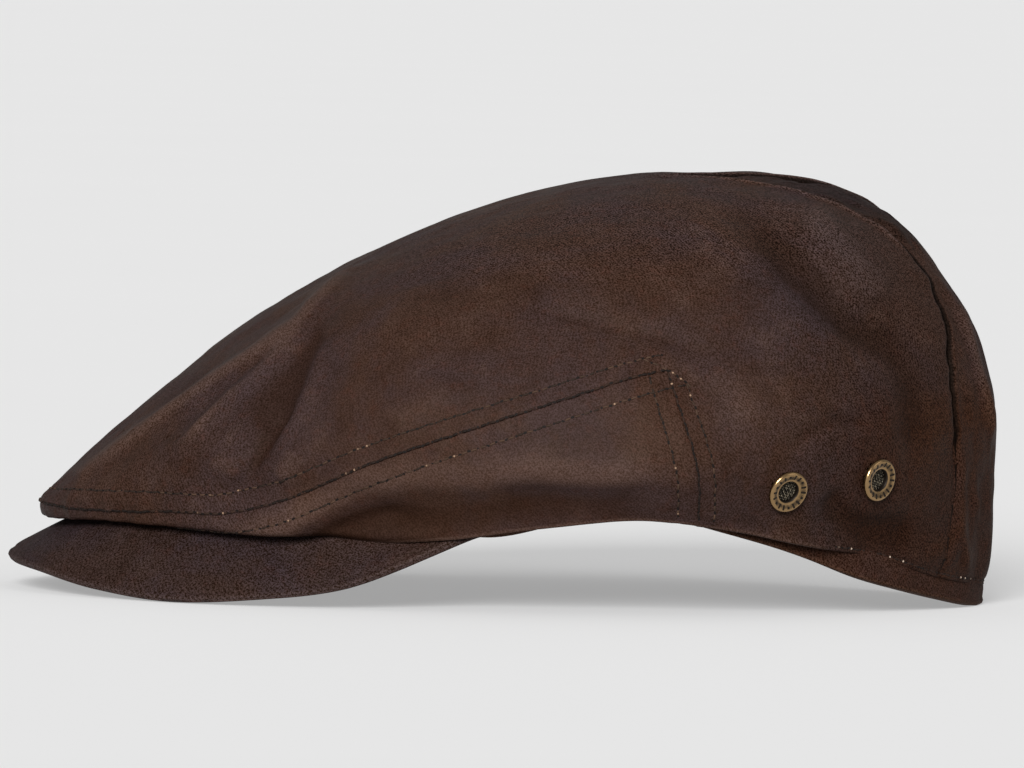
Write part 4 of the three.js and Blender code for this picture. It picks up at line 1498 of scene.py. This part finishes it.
def build_cap():
    pieces = cloth_pieces()
    pieces["peak"] = peak_piece()
    pieces["head_band"] = head_band_piece()
    for name, (slot, *look) in CLOTHS.items():
        pieces[name].name = f"{name}_cloth"
        dress(pieces[name], cloth_material(*look), slot, name)
    for thread, piece in stitch_pieces().items():
        slot, *look = THREADS[thread]
        dress(piece, thread_material(f"thread_{thread}", *look), slot)
    brass = brass_material()
    wire = wire_material()
    for place, (centre, normal) in EYELET_FRAMES.items():
        dress(ring_piece(f"ring_{place}", centre, normal), brass, "brass", f"eyelet_{place}")
        dress(gauze_piece(f"wires_{place}", centre, normal), wire, "gauze", f"mesh_{place}")


# Floor, light and camera

FLOOR_HALF = 60.0
FLOOR_GLOW = 0.353
SKY_SEEN = 0.79
SKY_LIT = 0.35
DISTANCE = 3000.0
PIXEL = 0.28
IMAGE_WIDE = 1024
SENSOR = 36.0
AIM = (2.227, 2.565, 58.751)
ELEVATION = math.radians(2.5)
ROLL = math.radians(1.1)


def build_stage():
    mesh = bpy.data.meshes.new("floor")
    corners = [(x * FLOOR_HALF, y * FLOOR_HALF, 0) for x, y in ((-1, -1), (1, -1), (1, 1), (-1, 1))]
    mesh.from_pydata(corners, [], [(0, 1, 2, 3)])
    mesh.materials.append(floor_material())
    floor = add("floor", mesh)
    floor.visible_diffuse = False


def sun(name, strength, angle, toward):
    """A soft distant lamp that shines along a direction."""
    lamp = bpy.data.lights.new(name, "SUN")
    lamp.energy = strength
    lamp.angle = math.radians(angle)
    holder = add(name, lamp)
    holder.rotation_mode = "QUATERNION"
    holder.rotation_quaternion = Vector(toward).to_track_quat("-Z", "Y")


def build_light():
    world = bpy.data.worlds.new("studio")
    world.use_nodes = True
    tree = world.node_tree
    seen = tree.nodes.new("ShaderNodeBackground")
    ray = tree.nodes.new("ShaderNodeLightPath")
    both = tree.nodes.new("ShaderNodeMixShader")
    lit = tree.nodes["Background"]
    for background, strength in ((seen, SKY_SEEN), (lit, SKY_LIT)):
        background.inputs["Color"].default_value = (1, 1, 1, 1)
        background.inputs["Strength"].default_value = strength
    tree.links.new(ray.outputs["Is Camera Ray"], both.inputs[0])
    tree.links.new(lit.outputs[0], both.inputs[1])
    tree.links.new(seen.outputs[0], both.inputs[2])
    tree.links.new(both.outputs[0], tree.nodes["World Output"].inputs["Surface"])
    bpy.context.scene.world = world
    sun("key", 3.9, 22, (0.16, 0.86, -0.36))
    sun("rim", 0.35, 40, (-0.75, 0.35, -0.5))
    bpy.context.scene.view_settings.view_transform = "Standard"


def build_camera():
    back = Vector((0, -math.cos(ELEVATION), math.sin(ELEVATION)))
    level = Vector((1, 0, 0))
    up = back.cross(level)
    right = level * math.cos(ROLL) + up * math.sin(ROLL)
    top = up * math.cos(ROLL) - level * math.sin(ROLL)
    lens = bpy.data.cameras.new("camera")
    lens.sensor_width = SENSOR
    lens.lens = SENSOR * DISTANCE / (IMAGE_WIDE * PIXEL)
    lens.clip_start = 0.1
    lens.clip_end = 400.0
    camera = add("camera", lens)
    camera.location = (Vector(AIM) + back * DISTANCE) * MM
    camera.rotation_mode = "QUATERNION"
    camera.rotation_quaternion = Matrix((right, top, back)).transposed().to_quaternion()
    bpy.context.scene.camera = camera


build_cap()
build_stage()
build_light()
build_camera()
